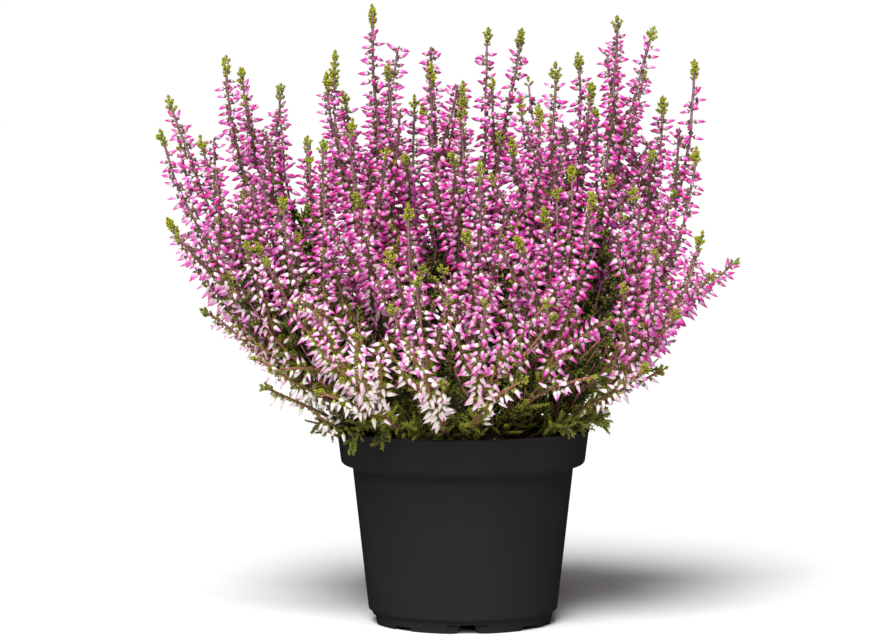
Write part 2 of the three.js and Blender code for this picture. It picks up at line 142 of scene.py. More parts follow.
# Tips of the forked stems in millimetres, one group for each plant, the main stem first.
FRONT_STEMS = [
    [[-137, -70, 233], [-136, -30, 248], [-120, -48, 230]],
    [[-132, -20, 228], [-120, -18, 162]],
    [[-135, -48, 192], [-95, -56, 130], [-120, -42, 150]],
    [[-93, -30, 114]],
    [[-113, 22, 267], [-104, -6, 261]],
    [[-88, 40, 254], [-77, 70, 228]],
    [[-81, -70, 203], [-88, -86, 175]],
    [[-61, 14, 269], [-64, -12, 259]],
    [[-64, -48, 228], [-84, -66, 124], [-76, -92, 157]],
    [[-92, -34, 216], [-94, -60, 182]],
    [[-43, 0, 291], [-34, -18, 263]],
    [[-44, 50, 249], [-58, 34, 250]],
    [[-51, -42, 238], [-49, -78, 205]],
    [[-15, 16, 275], [-16, -8, 263]],
    [[-24, 48, 248], [-27, -52, 221]],
    [[0, -22, 255], [-5, -60, 223]],
    [[12, 14, 280], [28, 2, 280]],
    [[43, -14, 264], [35, -44, 244], [22, -40, 229]],
    [[56, 30, 268], [61, 2, 254]],
    [[72, -2, 285], [90, 24, 281]],
    [[109, 8, 265], [97, 44, 248]],
    [[108, -26, 224], [99, -8, 148], [77, -70, 206]],
    [[110, -44, 186], [84, -58, 126], [86, -84, 179]],
    [[137, 95, 167], [104, 74, 128], [121, 40, 163]],
    [[97, 20, 119], [91, -34, 141]],
    [[-25, -86, 200], [-33, -104, 180]],
    [[8, -66, 219], [2, -94, 188]],
    [[49, -56, 217], [24, -100, 186], [36, -80, 198]],
    [[-65, -104, 153], [-66, -78, 116], [-46, -118, 143]],
    [[-20, -114, 169], [-8, -96, 122], [-25, -124, 142]],
    [[10, -122, 159], [28, -98, 124], [38, -110, 159]],
    [[58, -80, 205], [60, -76, 122], [65, -92, 150]],
]
BACK_STEMS = 8  # on the far side, in an arc, tall and low by turns
BACK_ARC = [14, 166]  # degrees from +X towards +Y
# Reach and height in millimetres, and the tips in degrees from the middle of the stem.
BACK_TALL = {"reach": 72, "height": 243, "tips": [-7, 8]}
BACK_LOW = {"reach": 121, "height": 178, "tips": [0, -9, 9]}
BACK_FRINGE = {"drop": 46, "draw": 26}
SHOOT_BASE = 49 * MM  # distance of a shoot's foot from the pot's axis
# Direction in degrees from +X, reach and height in millimetres of each leafy shoot.
SHOOTS = [(222, 71, 84), (248, 64, 99), (318, 69, 92), (338, 73, 95), (12, 70, 93),
          (52, 68, 98), (98, 70, 92), (142, 69, 97), (186, 72, 90)]
SHOOT_FORK_TURN = 15  # degrees from a shoot's tip to the tip of its fork
SHOOT_ARCH = 97.5 * MM  # height that sets how far the shoots arch over the lip
BASE_ROUNDS = 40
BEND_ROUNDS = 60
BEND_STEP = 0.3
BEND_FREEDOM = np.array([0.25, 1, 0.15])  # stems give way mostly in depth
SEED = 20417
ROUTE_POINTS = 20
FINE = 5  # points of the smooth line in each step of a route


# ---- Settings --------------------------------------------------------------------------------
def linear(hex_colour):
    """An sRGB hex colour as linear red, green and blue."""
    parts = [int(hex_colour[i : i + 2], 16) / 255 for i in (1, 3, 5)]
    return tuple(p / 12.92 if p <= 0.04045 else ((p + 0.055) / 1.055) ** 2.4 for p in parts)


def shade(name, hex_colour, description):
    return FloatVectorProperty(
        name=name, description=description, subtype="COLOR", size=3, min=0, max=1,
        default=linear(hex_colour),
    )


def length(name, metres, description):
    return FloatProperty(
        name=name, description=description, unit="LENGTH", subtype="DISTANCE", min=0,
        precision=5, default=metres,
    )


class PotSettings(bpy.types.PropertyGroup):
    """The nursery pot."""

    wall: length("Wall", 1.2 * MM, "Thickness of the moulded wall")
    lip: length("Lip", 0.9 * MM, "Roundness of the lip")
    plastic: shade("Plastic", "#202021", "Colour of the polypropylene")


class PeatSettings(bpy.types.PropertyGroup):
    """The peat and the bits of fibre on it."""

    roughness: length("Mounds", 1.3 * MM, "Height of the low mounds in the surface")
    crumbs: IntProperty(name="Crumbs", description="Number of crumbs on the surface", default=620)
    fibres: IntProperty(name="Fibres", description="Number of loose fibres", default=420)
    dark: shade("Wet peat", "#1C120D", "Colour between the crumbs")
    light: shade("Fibre", "#6B4A33", "Colour of the dry fibres")


class StemSettings(bpy.types.PropertyGroup):
    """The wood of the heather."""

    foot: length("Foot", 1.0 * MM, "Radius of a main stem at the peat")
    tip: length("Tip", 0.58 * MM, "Radius of a stem under its green top")
    old: shade("Old bark", "#3E2E24", "Colour near the peat")
    young: shade("Young bark", "#A6625A", "Colour at half height")
    purple: shade("Flowering stem", "#8E5C78", "Colour between the upper buds")


class FlowerSettings(bpy.types.PropertyGroup):
    """The flower buds."""

    bud: length("Bud", 5.9 * MM, "Length of a closed bud")
    width: length("Width", 2.38 * MM, "Width of a closed bud")
    pitch: length("Pitch", 2.15 * MM, "Length of stem from one pair of buds to the next")
    white: shade("White", "#FBF1EE", "Colour of a sepal's base")
    blush: shade("Blush", "#F5AEDC", "Colour where the base turns pink")
    pink: shade("Pink", "#E25CBA", "Colour of a sepal towards its point")
    crimson: shade("Crimson", "#B60E70", "Colour of the point")
    lilac: shade("Lilac", "#B45BC2", "Colour that some buds lean to")


class LeafSettings(bpy.types.PropertyGroup):
    """The scale leaves."""

    leaf: length("Leaf", 1.8 * MM, "Length of a leaf on a leafy shoot")
    old: shade("Old leaf", "#2F3213", "Colour low in the plant")
    green: shade("Leaf", "#868B38", "Colour of a grown leaf")
    young: shade("Young leaf", "#A2A42A", "Colour of the green tops")
    bract: shade("Bract", "#634839", "Colour of the leaves at the buds")
    dry: shade("Dry bract", "#988068", "Colour of the palest of these")


class StudioSettings(bpy.types.PropertyGroup):
    """The floor, the lights and the camera."""

    floor: shade("Floor", "#F4F4F2", "Colour of the seamless floor")
    key: FloatProperty(name="Key light", description="Power of the front light in watts", default=11)
    top: FloatProperty(name="Top light", description="Strength of the light from above", default=4.7)
    room: FloatProperty(name="Room", description="Strength of the light all round", default=0.04)


# ---- Small helpers ---------------------------------------------------------------------------
def unit(rows):
    return rows / np.linalg.norm(rows, axis=-1, keepdims=True)


def smoothstep(low, high, value):
    share = np.clip((value - low) / (high - low), 0, 1)
    return share * share * (3 - 2 * share)


def deselect():
    if bpy.context.object and bpy.context.object.mode != "OBJECT":
        bpy.ops.object.mode_set(mode="OBJECT")
    bpy.ops.object.select_all(action="DESELECT")


def drawn_out(name, sides, rings):
    """A closed form of round sections, given as rings of radius and height: a disc, or the point
    of a cone, that is extruded and resized from ring to ring. A last radius of 0 is a point."""
    deselect()
    (radius, height), rest = rings[0], rings[1:]
    if radius:
        bpy.ops.mesh.primitive_circle_add(
            vertices=sides, radius=radius, fill_type="NGON", location=(0, 0, height)
        )
    else:
        start, (radius, height), rest = height, rest[0], rest[1:]
        bpy.ops.mesh.primitive_cone_add(
            vertices=sides, radius1=0, radius2=radius, depth=height - start,
            location=(0, 0, (start + height) / 2),
        )
    piece = bpy.context.object
    piece.name = piece.data.name = name
    bpy.ops.object.transform_apply(location=True)
    faces = piece.data.polygons
    top = max(faces, key=lambda face: (len(face.vertices), face.center.z))
    for group in (piece.data.vertices, piece.data.edges, faces):
        for part in group:
            part.select = False
    top.select = True
    bpy.ops.object.mode_set(mode="EDIT")
    bpy.ops.mesh.select_mode(type="FACE")
    for next_radius, next_height in rest:
        rise = (0, 0, next_height - height)
        bpy.ops.mesh.extrude_region_move(TRANSFORM_OT_translate={"value": rise})
        if next_radius:
            grow = next_radius / radius
            bpy.ops.transform.resize(
                value=(grow, grow, 1), center_override=(0, 0, next_height)
            )
        else:
            bpy.ops.mesh.merge(type="CENTER")
        radius, height = next_radius, next_height
    bpy.ops.mesh.select_all(action="SELECT")
    bpy.ops.mesh.normals_make_consistent(inside=False)
    bpy.ops.object.mode_set(mode="OBJECT")
    return piece


def arc(centre, radius, start, end, steps):
    """Points (x, y) on an arc, with the angles in degrees."""
    angles = np.linspace(start, end, steps + 1) * DEGREE
    return [(centre[0] + radius * math.cos(a), centre[1] + radius * math.sin(a)) for a in angles]


def choose(piece, *others):
    """Selects these objects alone, the first one active."""
    deselect()
    for one in (piece, *others):
        one.select_set(True)
    bpy.context.view_layer.objects.active = piece


def apply_modifiers(piece):
    choose(piece)
    for modifier in list(piece.modifiers):
        bpy.ops.object.modifier_apply(modifier=modifier.name)


def place_piece(piece, slot, *nodes):
    """Puts a finished piece on the part: it rides on the part's one body and stands for nodes."""
    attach(piece, "root")
    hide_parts(*nodes)


# ---- Materials -------------------------------------------------------------------------------
def add(tree, kind, inputs=None, stops=None, **settings):
    """Adds a node. Its inputs are values or the output sockets that they are linked to."""
    node = tree.nodes.new(kind)
    for key, value in settings.items():
        setattr(node, key, value)
    for key, value in (inputs or {}).items():
        if isinstance(value, bpy.types.NodeSocket):
            tree.links.new(value, node.inputs[key])
        else:
            node.inputs[key].default_value = value
    if stops:
        elements = node.color_ramp.elements
        while len(elements) < len(stops):
            elements.new(0.5)
        for element, (spot, colour) in zip(elements, stops):
            element.position = spot
            element.color = (*colour, 1)
    return node


def new_material(name):
    """A material with an empty tree, its tree, and the coordinates of the piece in metres."""
    material = bpy.data.materials.new(name)
    material.use_nodes = True
    tree = material.node_tree
    tree.nodes.clear()
    return material, tree, add(tree, "ShaderNodeTexCoord").outputs["Object"]


def surface(tree, **inputs):
    """The surface shader and the output."""
    named = {key.replace("_", " "): value for key, value in inputs.items()}
    shader = add(tree, "ShaderNodeBsdfPrincipled", named)
    add(tree, "ShaderNodeOutputMaterial", {"Surface": shader.outputs[0]})


@functools.cache
def polypropylene():
    """Black polypropylene, injection moulded in a finely blasted mould: a soft grey sheen that
    the grain breaks up, and faint rubbed patches."""
    settings = bpy.context.scene.heather_pot
    material, tree, place = new_material("polypropylene_injection_moulded")
    grain = add(tree, "ShaderNodeTexNoise", {
        "Vector": place, "Scale": 1 / (0.45 * MM), "Detail": 2,
    })
    rubbed = add(tree, "ShaderNodeTexNoise", {
        "Vector": place, "Scale": 1 / (28 * MM), "Detail": 5,
    })
    worn = add(tree, "ShaderNodeValToRGB", {"Fac": rubbed.outputs[0]},
               [(0.38, (0.54,) * 3), (0.72, (0.66,) * 3)])
    tone = add(tree, "ShaderNodeMix", {
        "Factor": rubbed.outputs[0], 6: (*settings.plastic, 1),
        7: (*[1.25 * c for c in settings.plastic], 1),
    }, data_type="RGBA")
    bump = add(tree, "ShaderNodeBump", {
        "Height": grain.outputs[0], "Distance": 0.05 * MM, "Strength": 0.5,
    })
    surface(tree, Base_Color=tone.outputs[2], Roughness=worn.outputs[0], Normal=bump.outputs[0],
            IOR=1.49, Specular_IOR_Level=0)
    return material


@functools.cache
def peat_moss():
    """Milled sphagnum peat, moist: nearly black between brown crumbs, with no gloss."""
    settings = bpy.context.scene.heather_peat
    material, tree, place = new_material("milled_peat_moist")
    crumb = add(tree, "ShaderNodeTexNoise", {"Vector": place, "Scale": 1 / (2.2 * MM), "Detail": 6})
    tone = add(tree, "ShaderNodeValToRGB", {"Fac": crumb.outputs[0]},
               [(0.35, settings.dark), (0.75, tuple(2.6 * c for c in settings.dark))])
    bump = add(tree, "ShaderNodeBump", {
        "Height": crumb.outputs[0], "Distance": 0.8 * MM, "Strength": 1,
    })
    surface(tree, Base_Color=tone.outputs[0], Roughness=0.95, Normal=bump.outputs[0],
            Specular_IOR_Level=0.2)
    return material


@functools.cache
def peat_fibre():
    """Dry roots and moss stalks in the peat, torn when it was milled: matt, tan to dark brown."""
    settings = bpy.context.scene.heather_peat
    material, tree, _ = new_material("peat_fibre_torn")
    tint = add(tree, "ShaderNodeUVMap", uv_map="tint")
    luck = add(tree, "ShaderNodeSeparateXYZ", {0: tint.outputs[0]})
    brown = tuple(0.35 * c for c in settings.light)
    tone = add(tree, "ShaderNodeValToRGB", {"Fac": luck.outputs[1]},
               [(0, settings.dark), (0.7, brown), (1, settings.light)])
    surface(tree, Base_Color=tone.outputs[0], Roughness=0.9, Specular_IOR_Level=0.2)
    return material


@functools.cache
def bark():
    """Heather bark as it grew: brown and flaking near the peat, smooth and red above, purple
    between the buds."""
    settings = bpy.context.scene.heather_stems
    material, tree, place = new_material("heather_bark_grown")
    height = add(tree, "ShaderNodeSeparateXYZ", {0: place})
    patches = add(tree, "ShaderNodeTexNoise", {"Vector": place, "Scale": 1 / (24 * MM), "Detail": 3})
    mixed = add(tree, "ShaderNodeMath", {
        0: patches.outputs[0], 1: 90 * MM, 2: height.outputs[2],
    }, operation="MULTIPLY_ADD")
    level = add(tree, "ShaderNodeMapRange", {
        "Value": mixed.outputs[0], "From Min": 115 * MM, "From Max": 285 * MM,
    })
    tone = add(tree, "ShaderNodeValToRGB", {"Fac": level.outputs[0]},
               [(0.13, settings.old), (0.32, settings.young), (0.7, settings.purple)])
    flakes = add(tree, "ShaderNodeTexNoise", {"Vector": place, "Scale": 1 / (0.7 * MM), "Detail": 3})
    bump = add(tree, "ShaderNodeBump", {
        "Height": flakes.outputs[0], "Distance": 0.15 * MM, "Strength": 0.6,
    })
    surface(tree, Base_Color=tone.outputs[0], Roughness=0.6, Normal=bump.outputs[0],
            Specular_IOR_Level=0.35)
    return material


@functools.cache
def scale_leaf():
    """Scale leaves of heather as they grew: thick and waxy, from dark when old to yellow-green
    when young, then brown to pale beside the buds. The tint map holds each leaf's place in that
    row and its luck."""
    settings = bpy.context.scene.heather_leaves
    material, tree, _ = new_material("heather_leaf_grown")
    form = add(tree, "ShaderNodeSeparateXYZ", {
        0: add(tree, "ShaderNodeUVMap", uv_map="form").outputs[0],
    })
    tint = add(tree, "ShaderNodeSeparateXYZ", {
        0: add(tree, "ShaderNodeUVMap", uv_map="tint").outputs[0],
    })
    age = add(tree, "ShaderNodeMath", {
        0: tint.outputs[1], 1: 0.14, 2: tint.outputs[0],
    }, operation="MULTIPLY_ADD")
    fresh = add(tree, "ShaderNodeMath", {
        0: form.outputs[1], 1: 0.12, 2: age.outputs[0],
    }, operation="MULTIPLY_ADD")
    tone = add(tree, "ShaderNodeValToRGB", {"Fac": fresh.outputs[0]},
               [(0.06, settings.old), (0.32, settings.green), (0.55, settings.young),
                (0.74, settings.bract), (1, settings.dry)])
    surface(tree, Base_Color=tone.outputs[0], Roughness=0.5, Specular_IOR_Level=0.2)
    return material


@functools.cache
def sepal():
    """Sepals of closed heather buds as they grew: papery and slightly see-through, white at the
    base and pink to magenta at the point. The tint map holds each bud's paleness and luck."""
    settings = bpy.context.scene.heather_flowers
    material, tree, _ = new_material("heather_sepal_grown")
    form = add(tree, "ShaderNodeSeparateXYZ", {
        0: add(tree, "ShaderNodeUVMap", uv_map="form").outputs[0],
    })
    tint = add(tree, "ShaderNodeSeparateXYZ", {
        0: add(tree, "ShaderNodeUVMap", uv_map="tint").outputs[0],
    })
    white_to = add(tree, "ShaderNodeMapRange", {
        "Value": tint.outputs[0], "From Max": PALE_MOST, "To Min": 0.33, "To Max": 0.7,
    })
    coloured_from = add(tree, "ShaderNodeMapRange", {
        "Value": tint.outputs[0], "From Max": PALE_MOST, "To Min": 0.8, "To Max": 2.93,
    })
    share = add(tree, "ShaderNodeMapRange", {
        "Value": form.outputs[1], "From Min": white_to.outputs[0],
        "From Max": coloured_from.outputs[0],
    })
    pinks = add(tree, "ShaderNodeValToRGB", {"Fac": share.outputs[0]},
                [(0, settings.white), (0.22, settings.blush), (0.5, settings.pink),
                 (1, settings.crimson)])
    lean = add(tree, "ShaderNodeMapRange", {
        "Value": tint.outputs[1], "From Min": 0.55, "From Max": 1.1, "To Max": 0.6,
    })
    leaned = add(tree, "ShaderNodeMath", {
        0: lean.outputs[0], 1: share.outputs[0],
    }, operation="MULTIPLY")
    tone = add(tree, "ShaderNodeMix", {
        "Factor": leaned.outputs[0], 6: pinks.outputs[0], 7: (*settings.lilac, 1),
    }, data_type="RGBA")
    stalk = add(tree, "ShaderNodeMapRange", {
        "Value": form.outputs[1], "From Min": 0.16, "From Max": 0.3,
    })
    whole = add(tree, "ShaderNodeMix", {
        "Factor": stalk.outputs[0], 6: (*bpy.context.scene.heather_leaves.green, 1),
        7: tone.outputs[2],
    }, data_type="RGBA")
    surface(tree, Base_Color=whole.outputs[2], Roughness=0.55, Specular_IOR_Level=0.2,
            Subsurface_Weight=0.12, Subsurface_Scale=1.2 * MM)
    return material


@functools.cache
def painted_floor():
    """Seamless studio board, painted matt: pale, with a barely uneven roller finish."""
    material, tree, place = new_material("studio_board_painted")
    roller = add(tree, "ShaderNodeTexNoise", {"Vector": place, "Scale": 1 / (6 * MM), "Detail": 2})
    bump = add(tree, "ShaderNodeBump", {
        "Height": roller.outputs[0], "Distance": 0.1 * MM, "Strength": 0.2,
    })
    surface(tree, Base_Color=(*bpy.context.scene.heather_studio.floor, 1), Roughness=0.9,
            Normal=bump.outputs[0])
    return material


# ---- Copies of small forms -------------------------------------------------------------------
BARK, LEAF, SEPAL = 0, 1, 2  # material slots of a plant
BUD_BEND = 0.5 * MM
PLUMP_BUD = (0.37, 0.7, 0.71)  # near the tops
SLIM_BUD = (0.3, 0.62, 0.66)  # grown, below
CUP_START = 1.1 * MM
CUP_LENGTH = 1.8 * MM
CUP_WIDTH = 3.0 * MM
CUP_SHORT = 0.55  # height of a cup's lower points against the others
LEAF_WIDTH = 0.72  # of its length
LEAF_PITCH = 0.82 * MM  # between two pairs of leaves on a leafy shoot
LEAF_LEAN = 45 * DEGREE
NEEDLE = 0.8  # width of a side shoot's leaves against other leaves
SPRAY_AXIS = 0.42 * MM  # radius of a leafy side shoot's own stem
SPRAY_BEND = 0.22  # how far a side shoot's end strays, as a share of its length


@dataclass
class Form:
    """A small modelled shape: its points, triangles, material slot, and for each point how far
    along the form it lies and how much younger it is than the form's own age."""

    points: np.ndarray
    faces: np.ndarray
    slot: int
    along: np.ndarray
    younger: np.ndarray


def form_of(piece, slot):
    """Takes a modelled piece away and keeps its shape as a form."""
    mesh = piece.data
    mesh.calc_loop_triangles()
    points = np.array([vertex.co for vertex in mesh.vertices])
    faces = np.array([triangle.vertices for triangle in mesh.loop_triangles])
    along = points[:, 2] / points[:, 2].max()
    bpy.data.objects.remove(piece)
    bpy.data.meshes.remove(mesh)
    return Form(points, faces, slot, along, np.zeros(len(points)))


def standing(directions, rolls, sizes):
    """Matrices that stand a form's Z axis along each direction, rolled about it and scaled by one
    number each, or by one for each of its axes."""
    z = unit(directions)
    spare = np.where(np.abs(z[:, 2:]) < 0.9, [[0, 0, 1]], [[1, 0, 0]])
    x = unit(np.cross(spare, z))
    y = np.cross(z, x)
    c, s = np.cos(rolls)[:, None], np.sin(rolls)[:, None]
    turned = np.stack([x * c + y * s, y * c - x * s, z], axis=2)
    sizes = np.asarray(sizes)
    return turned * (sizes if sizes.ndim == 2 else sizes[:, None])[:, None]


@dataclass
class Growth:
    """Copies of forms that are gathered into one mesh."""

    points: list = field(default_factory=list)
    faces: list = field(default_factory=list)
    slots: list = field(default_factory=list)
    along: list = field(default_factory=list)
    tints: list = field(default_factory=list)
    count: int = 0

    def add(self, form, spots, turns, ages, lucks):
        """Adds a copy of a form at each spot, turned and scaled, with its own age and luck."""
        copies, size = len(spots), len(form.points)
        if not copies:
            return
        placed = np.einsum("nij,vj->nvi", turns, form.points) + spots[:, None]
        starts = self.count + size * np.arange(copies)
        self.points.append(placed.reshape(-1, 3))
        self.faces.append((form.faces[None] + starts[:, None, None]).reshape(-1, 3))
        self.slots.append(np.full(copies * len(form.faces), form.slot))
        self.along.append(np.tile(form.along, copies))
        age = np.asarray(ages).reshape(-1, 1) + form.younger
        luck = np.broadcast_to(np.asarray(lucks).reshape(-1, 1), age.shape)
        self.tints.append(np.stack([age, luck], 2).reshape(-1, 2))
        self.count += copies * size

    def as_form(self):
        """The copies as one new form, whose points keep the ages they were given."""
        return Form(
            np.concatenate(self.points), np.concatenate(self.faces), self.slots[0][0],
            np.concatenate(self.along), np.concatenate(self.tints)[:, 0],
        )

    def as_piece(self, name, materials):
        """The copies as one object, with the maps that the materials read."""
        points, faces = np.concatenate(self.points), np.concatenate(self.faces)
        mesh = bpy.data.meshes.new(name)
        mesh.from_pydata(points, [], faces)
        corners = faces.reshape(-1)
        along, tints = np.concatenate(self.along), np.concatenate(self.tints)
        form = np.stack([np.zeros(len(corners)), along[corners]], 1)
        mesh.uv_layers.new(name="form").data.foreach_set("uv", form.reshape(-1))
        mesh.uv_layers.new(name="tint").data.foreach_set("uv", tints[corners].reshape(-1))
        mesh.polygons.foreach_set("material_index", np.concatenate(self.slots).astype(np.int32))
        mesh.polygons.foreach_set("use_smooth", np.ones(len(faces), bool))
        for material in materials:
            mesh.materials.append(material)
        mesh.update()
        piece = bpy.data.objects.new(name, mesh)
        bpy.context.scene.collection.objects.link(piece)
        return piece


@functools.cache
def bud(shape):
    """A closed flower: its stalk from the stem's middle, then four sepals in a pointed roll that
    bends a little at its point. Its shape holds the height of its widest place and the width and
    height below its point, as shares of the bud."""
    settings = bpy.context.scene.heather_flowers
    foot, width = BUD_REACH - settings.bud, settings.width / 2
    widest, slim, high = shape
    rings = [
        (0, 0), (width, foot + widest * settings.bud), (slim * width, foot + high * settings.bud),
        (0, BUD_REACH),
    ]
    form = form_of(drawn_out("bud", 5, rings), SEPAL)
    form.points[:, 0] += BUD_BEND * form.along**3
    return form


@functools.cache
def cup():
    """The small leaves round a bud's foot, as a cup with four points, two of them shorter."""
    form = form_of(drawn_out("cup", 4, [(0, 0), (CUP_WIDTH / 2, CUP_LENGTH)]), LEAF)
    rim = np.flatnonzero(form.along > 0.5)
    form.points[rim[::2], 2] *= CUP_SHORT
    return form


@functools.cache
def leaf():
    """A scale leaf of unit length, widest at its root, where it clasps the stem."""
    return form_of(drawn_out("leaf", 3, [(LEAF_WIDTH / 2, 0), (0, 1)]), LEAF)


@functools.cache
def plump_leaf():
    """A young scale leaf of unit length, swollen and blunt."""
    return form_of(drawn_out("plump_leaf", 3, [(0, 0), (0.34, 0.5), (0, 1)]), LEAF)


def rows_of_leaves(growth, form, sizes, way, lean, younger, luck, thick=1):
    """Adds leaves to a straight shoot on the Z axis, in pairs, each a quarter turn from the last."""
    for k, (height, size) in enumerate(zip(way, sizes)):
        for side in (0, 1):
            turn = k * math.pi / 2 + side * math.pi + luck.uniform(-0.25, 0.25)
            tilt = lean * luck.uniform(0.8, 1.2)
            out = np.array([[math.cos(turn) * math.sin(tilt), math.sin(turn) * math.sin(tilt),
                             math.cos(tilt)]])
            growth.add(form, np.array([[0, 0, height]]),
                       standing(out, [0], [[thick * size, thick * size, size]]),
                       [younger * height / way[-1]], [0])


@functools.cache
def knob():
    """A very short side shoot of a green top: four rows of plump leaves that overlap."""
    growth = Growth()
    luck = np.random.RandomState(SEED)
    rows_of_leaves(growth, plump_leaf(), np.array([1.9, 1.9, 1.6]) * MM,
                   np.array([0.3, 1.3, 2.3]) * MM, 27 * DEGREE, 0.12, luck)
    return growth.as_form()


@functools.cache
def spray(pairs):
    """A leafy side shoot with this many pairs of leaves, which bends up towards its end."""
    growth = Growth()
    luck = np.random.RandomState(SEED + pairs)
    size = bpy.context.scene.heather_leaves.leaf
    way = LEAF_PITCH * (0.6 + np.arange(pairs))
    end = way[-1] + 0.5 * size
    axis = form_of(drawn_out("axis", 3, [(SPRAY_AXIS, 0), (0, end)]), LEAF)
    growth.add(axis, np.zeros((1, 3)), np.eye(3)[None], [0], [0])
    sizes = size * np.interp(np.arange(pairs) / pairs, [0, 0.7, 1], [1, 1, 0.7])
    rows_of_leaves(growth, leaf(), sizes, way, LEAF_LEAN, 0.16, luck, NEEDLE)
    form = growth.as_form()
    form.points[:, 0] += SPRAY_BEND * (form.points[:, 2] / end) ** 2 * end
    return form


# ---- Lines and twigs -------------------------------------------------------------------------
WAVE = 1.1 * MM  # how far a stem strays from its route
WAVE_LENGTH = 17 * MM
WAVE_RISE = 40 * MM  # height above the peat in which the straying sets in


def wavy(points):
    """Moves points a little, by their place alone, so that a stem and its side stems still meet."""
    moved = []
    for point in points:
        stray = Vector(noise.noise_vector(Vector(point) / WAVE_LENGTH))
        moved.append(stray * WAVE * smoothstep(PEAT_TOP, PEAT_TOP + WAVE_RISE, point[2]))
    return points + np.array(moved)


class Line:
    """A smooth line through points, with its length and with places and headings along it."""

    def __init__(self, points):
        first, last = 2 * points[0] - points[1], 2 * points[-1] - points[-2]
        whole = np.vstack([first, points, last])
        t = (np.arange(FINE) / FINE)[:, None]
        parts = []
        for a, b, c, d in zip(whole, whole[1:], whole[2:], whole[3:]):
            leave, arrive = (c - a) / 2, (d - b) / 2
            cubic = (2 * b - 2 * c + leave + arrive) * t**3
            parts.append(cubic + (3 * c - 3 * b - 2 * leave - arrive) * t**2 + leave * t + b)
        self.points = np.vstack([*parts, points[-1:]])
        steps = np.linalg.norm(np.diff(self.points, axis=0), axis=1)
        self.way = np.concatenate([[0], np.cumsum(steps)])
        self.length = self.way[-1]

    def place(self, way):
        return np.stack([np.interp(way, self.way, self.points[:, k]) for k in range(3)], 1)

    def heading(self, way):
        way = np.clip(way, MM, self.length - MM)
        return unit(self.place(way + MM) - self.place(way - MM))

    def sides(self, way):
        """Two directions across the line at each place, the first one level."""
        along = self.heading(way)
        tip = self.points[-1]
        turn = math.atan2(tip[1], tip[0])
        across = np.array([-math.sin(turn), math.cos(turn), 0])
        level = unit(across - along * (along @ across)[:, None])
        return level, np.cross(along, level)


@dataclass
class Twig:
    """A stem or side stem: its plant, its line, whether it only bears leaves, its radius at its
    foot, where its flowers start, and the length of its green top."""

    plant: int
    line: Line
    leafy: bool
    foot: float
    flowers_from: float = 0
    green: float = 0
    root: bool = False


class Draws:
    """Repeatable draws between two numbers."""

    def __init__(self, seed):
        self.state = seed

    def between(self, low, high):
        self.state = self.state * 16807 % 2147483647
        return low + (high - low) * self.state / 2147483647


def bow(start, middle, end):
    """Points along an arch from start to end that is drawn towards middle."""
    t = np.linspace(0, 1, ROUTE_POINTS)[:, None]
    return (1 - t) ** 2 * start + 2 * t * (1 - t) * middle + t**2 * end


def back_tips(draws):
    """Tips on the far side, in an arc, tall and low by turns."""
    groups = []
    for i in range(BACK_STEMS):
        spot = BACK_LOW if i % 2 else BACK_TALL
        turn = BACK_ARC[0] + (BACK_ARC[1] - BACK_ARC[0]) * (i + 0.5) / BACK_STEMS
        group = []
        for k, aside in enumerate(spot["tips"]):
            fringe = spot is BACK_LOW and k == 1
            angle = (turn + aside + draws.between(-2, 2)) * DEGREE
            reach = spot["reach"] + draws.between(-6, 6) - (BACK_FRINGE["draw"] if fringe else 0)
            height = spot["height"] + draws.between(-8, 8) - (BACK_FRINGE["drop"] if fringe else 0)
            group.append([reach * math.cos(angle), reach * math.sin(angle), height])
        groups.append(group)
    return groups


def base_of(tip):
    """Where a stem that ends at this tip comes out of the peat, before the feet are spread."""
    reach = math.hypot(tip[0], tip[1])
    lean = math.atan2(reach, tip[2] - FAN_HEIGHT)
    radius = BASE_SPREAD * min(lean, FAN_ANGLE) / FAN_ANGLE
    return np.array([tip[0] * radius / reach, tip[1] * radius / reach, 0])


def peat_height(radius):
    return PEAT_TOP - (PEAT_TOP - PEAT_EDGE) * radius / COLLAR_RADIUS


def spread_bases(bases):
    """Moves the feet of the plants apart and sets them on the peat."""
    for _ in range(BASE_ROUNDS):
        for i, one in enumerate(bases):
            for other in bases[i + 1 :]:
                push = one - other
                apart = math.sqrt(push @ push)
                if apart < BASE_CLEAR:
                    push *= 0.5 * (BASE_CLEAR - apart) / apart
                    one += push
                    other -= push
        for base in bases:
            base *= min(1, BASE_LIMIT / math.hypot(*base))
    for base in bases:
        base[2] = peat_height(math.hypot(base[0], base[1]))


def main_route(base, tip, draws):
    """Leaves the peat leaning out and turns up, or arches over the lip if it leans far."""
    chord = tip - base
    long = np.linalg.norm(chord)
    lean = math.acos(chord[2] / long)
    side = unit(np.cross(chord, [0, 0, 1]))
    down = unit(np.cross(chord, side))
    if down[2] > 0:
        down = -down
    upright = min(1, lean / BEND_FULL)
    drawn = 2 * BEND * upright * math.sin(lean / BEND_LIMIT * math.pi) * draws.between(0.8, 1.2)
    return bow(base, (base + tip) / 2 + down * drawn * long, tip)


def side_route(main, fork, tip):
    """Leaves the main route's fork along it."""
    index = int(fork * (ROUTE_POINTS - 1) + 0.5)
    start = main[index]
    along = unit(main[index + 1] - main[index - 1])
    return bow(start, start + along * FORK_REACH * np.linalg.norm(tip - start), tip), index


@dataclass
class Route:
    plant: int
    points: np.ndarray
    parent: int
    index: int
    leafy: bool


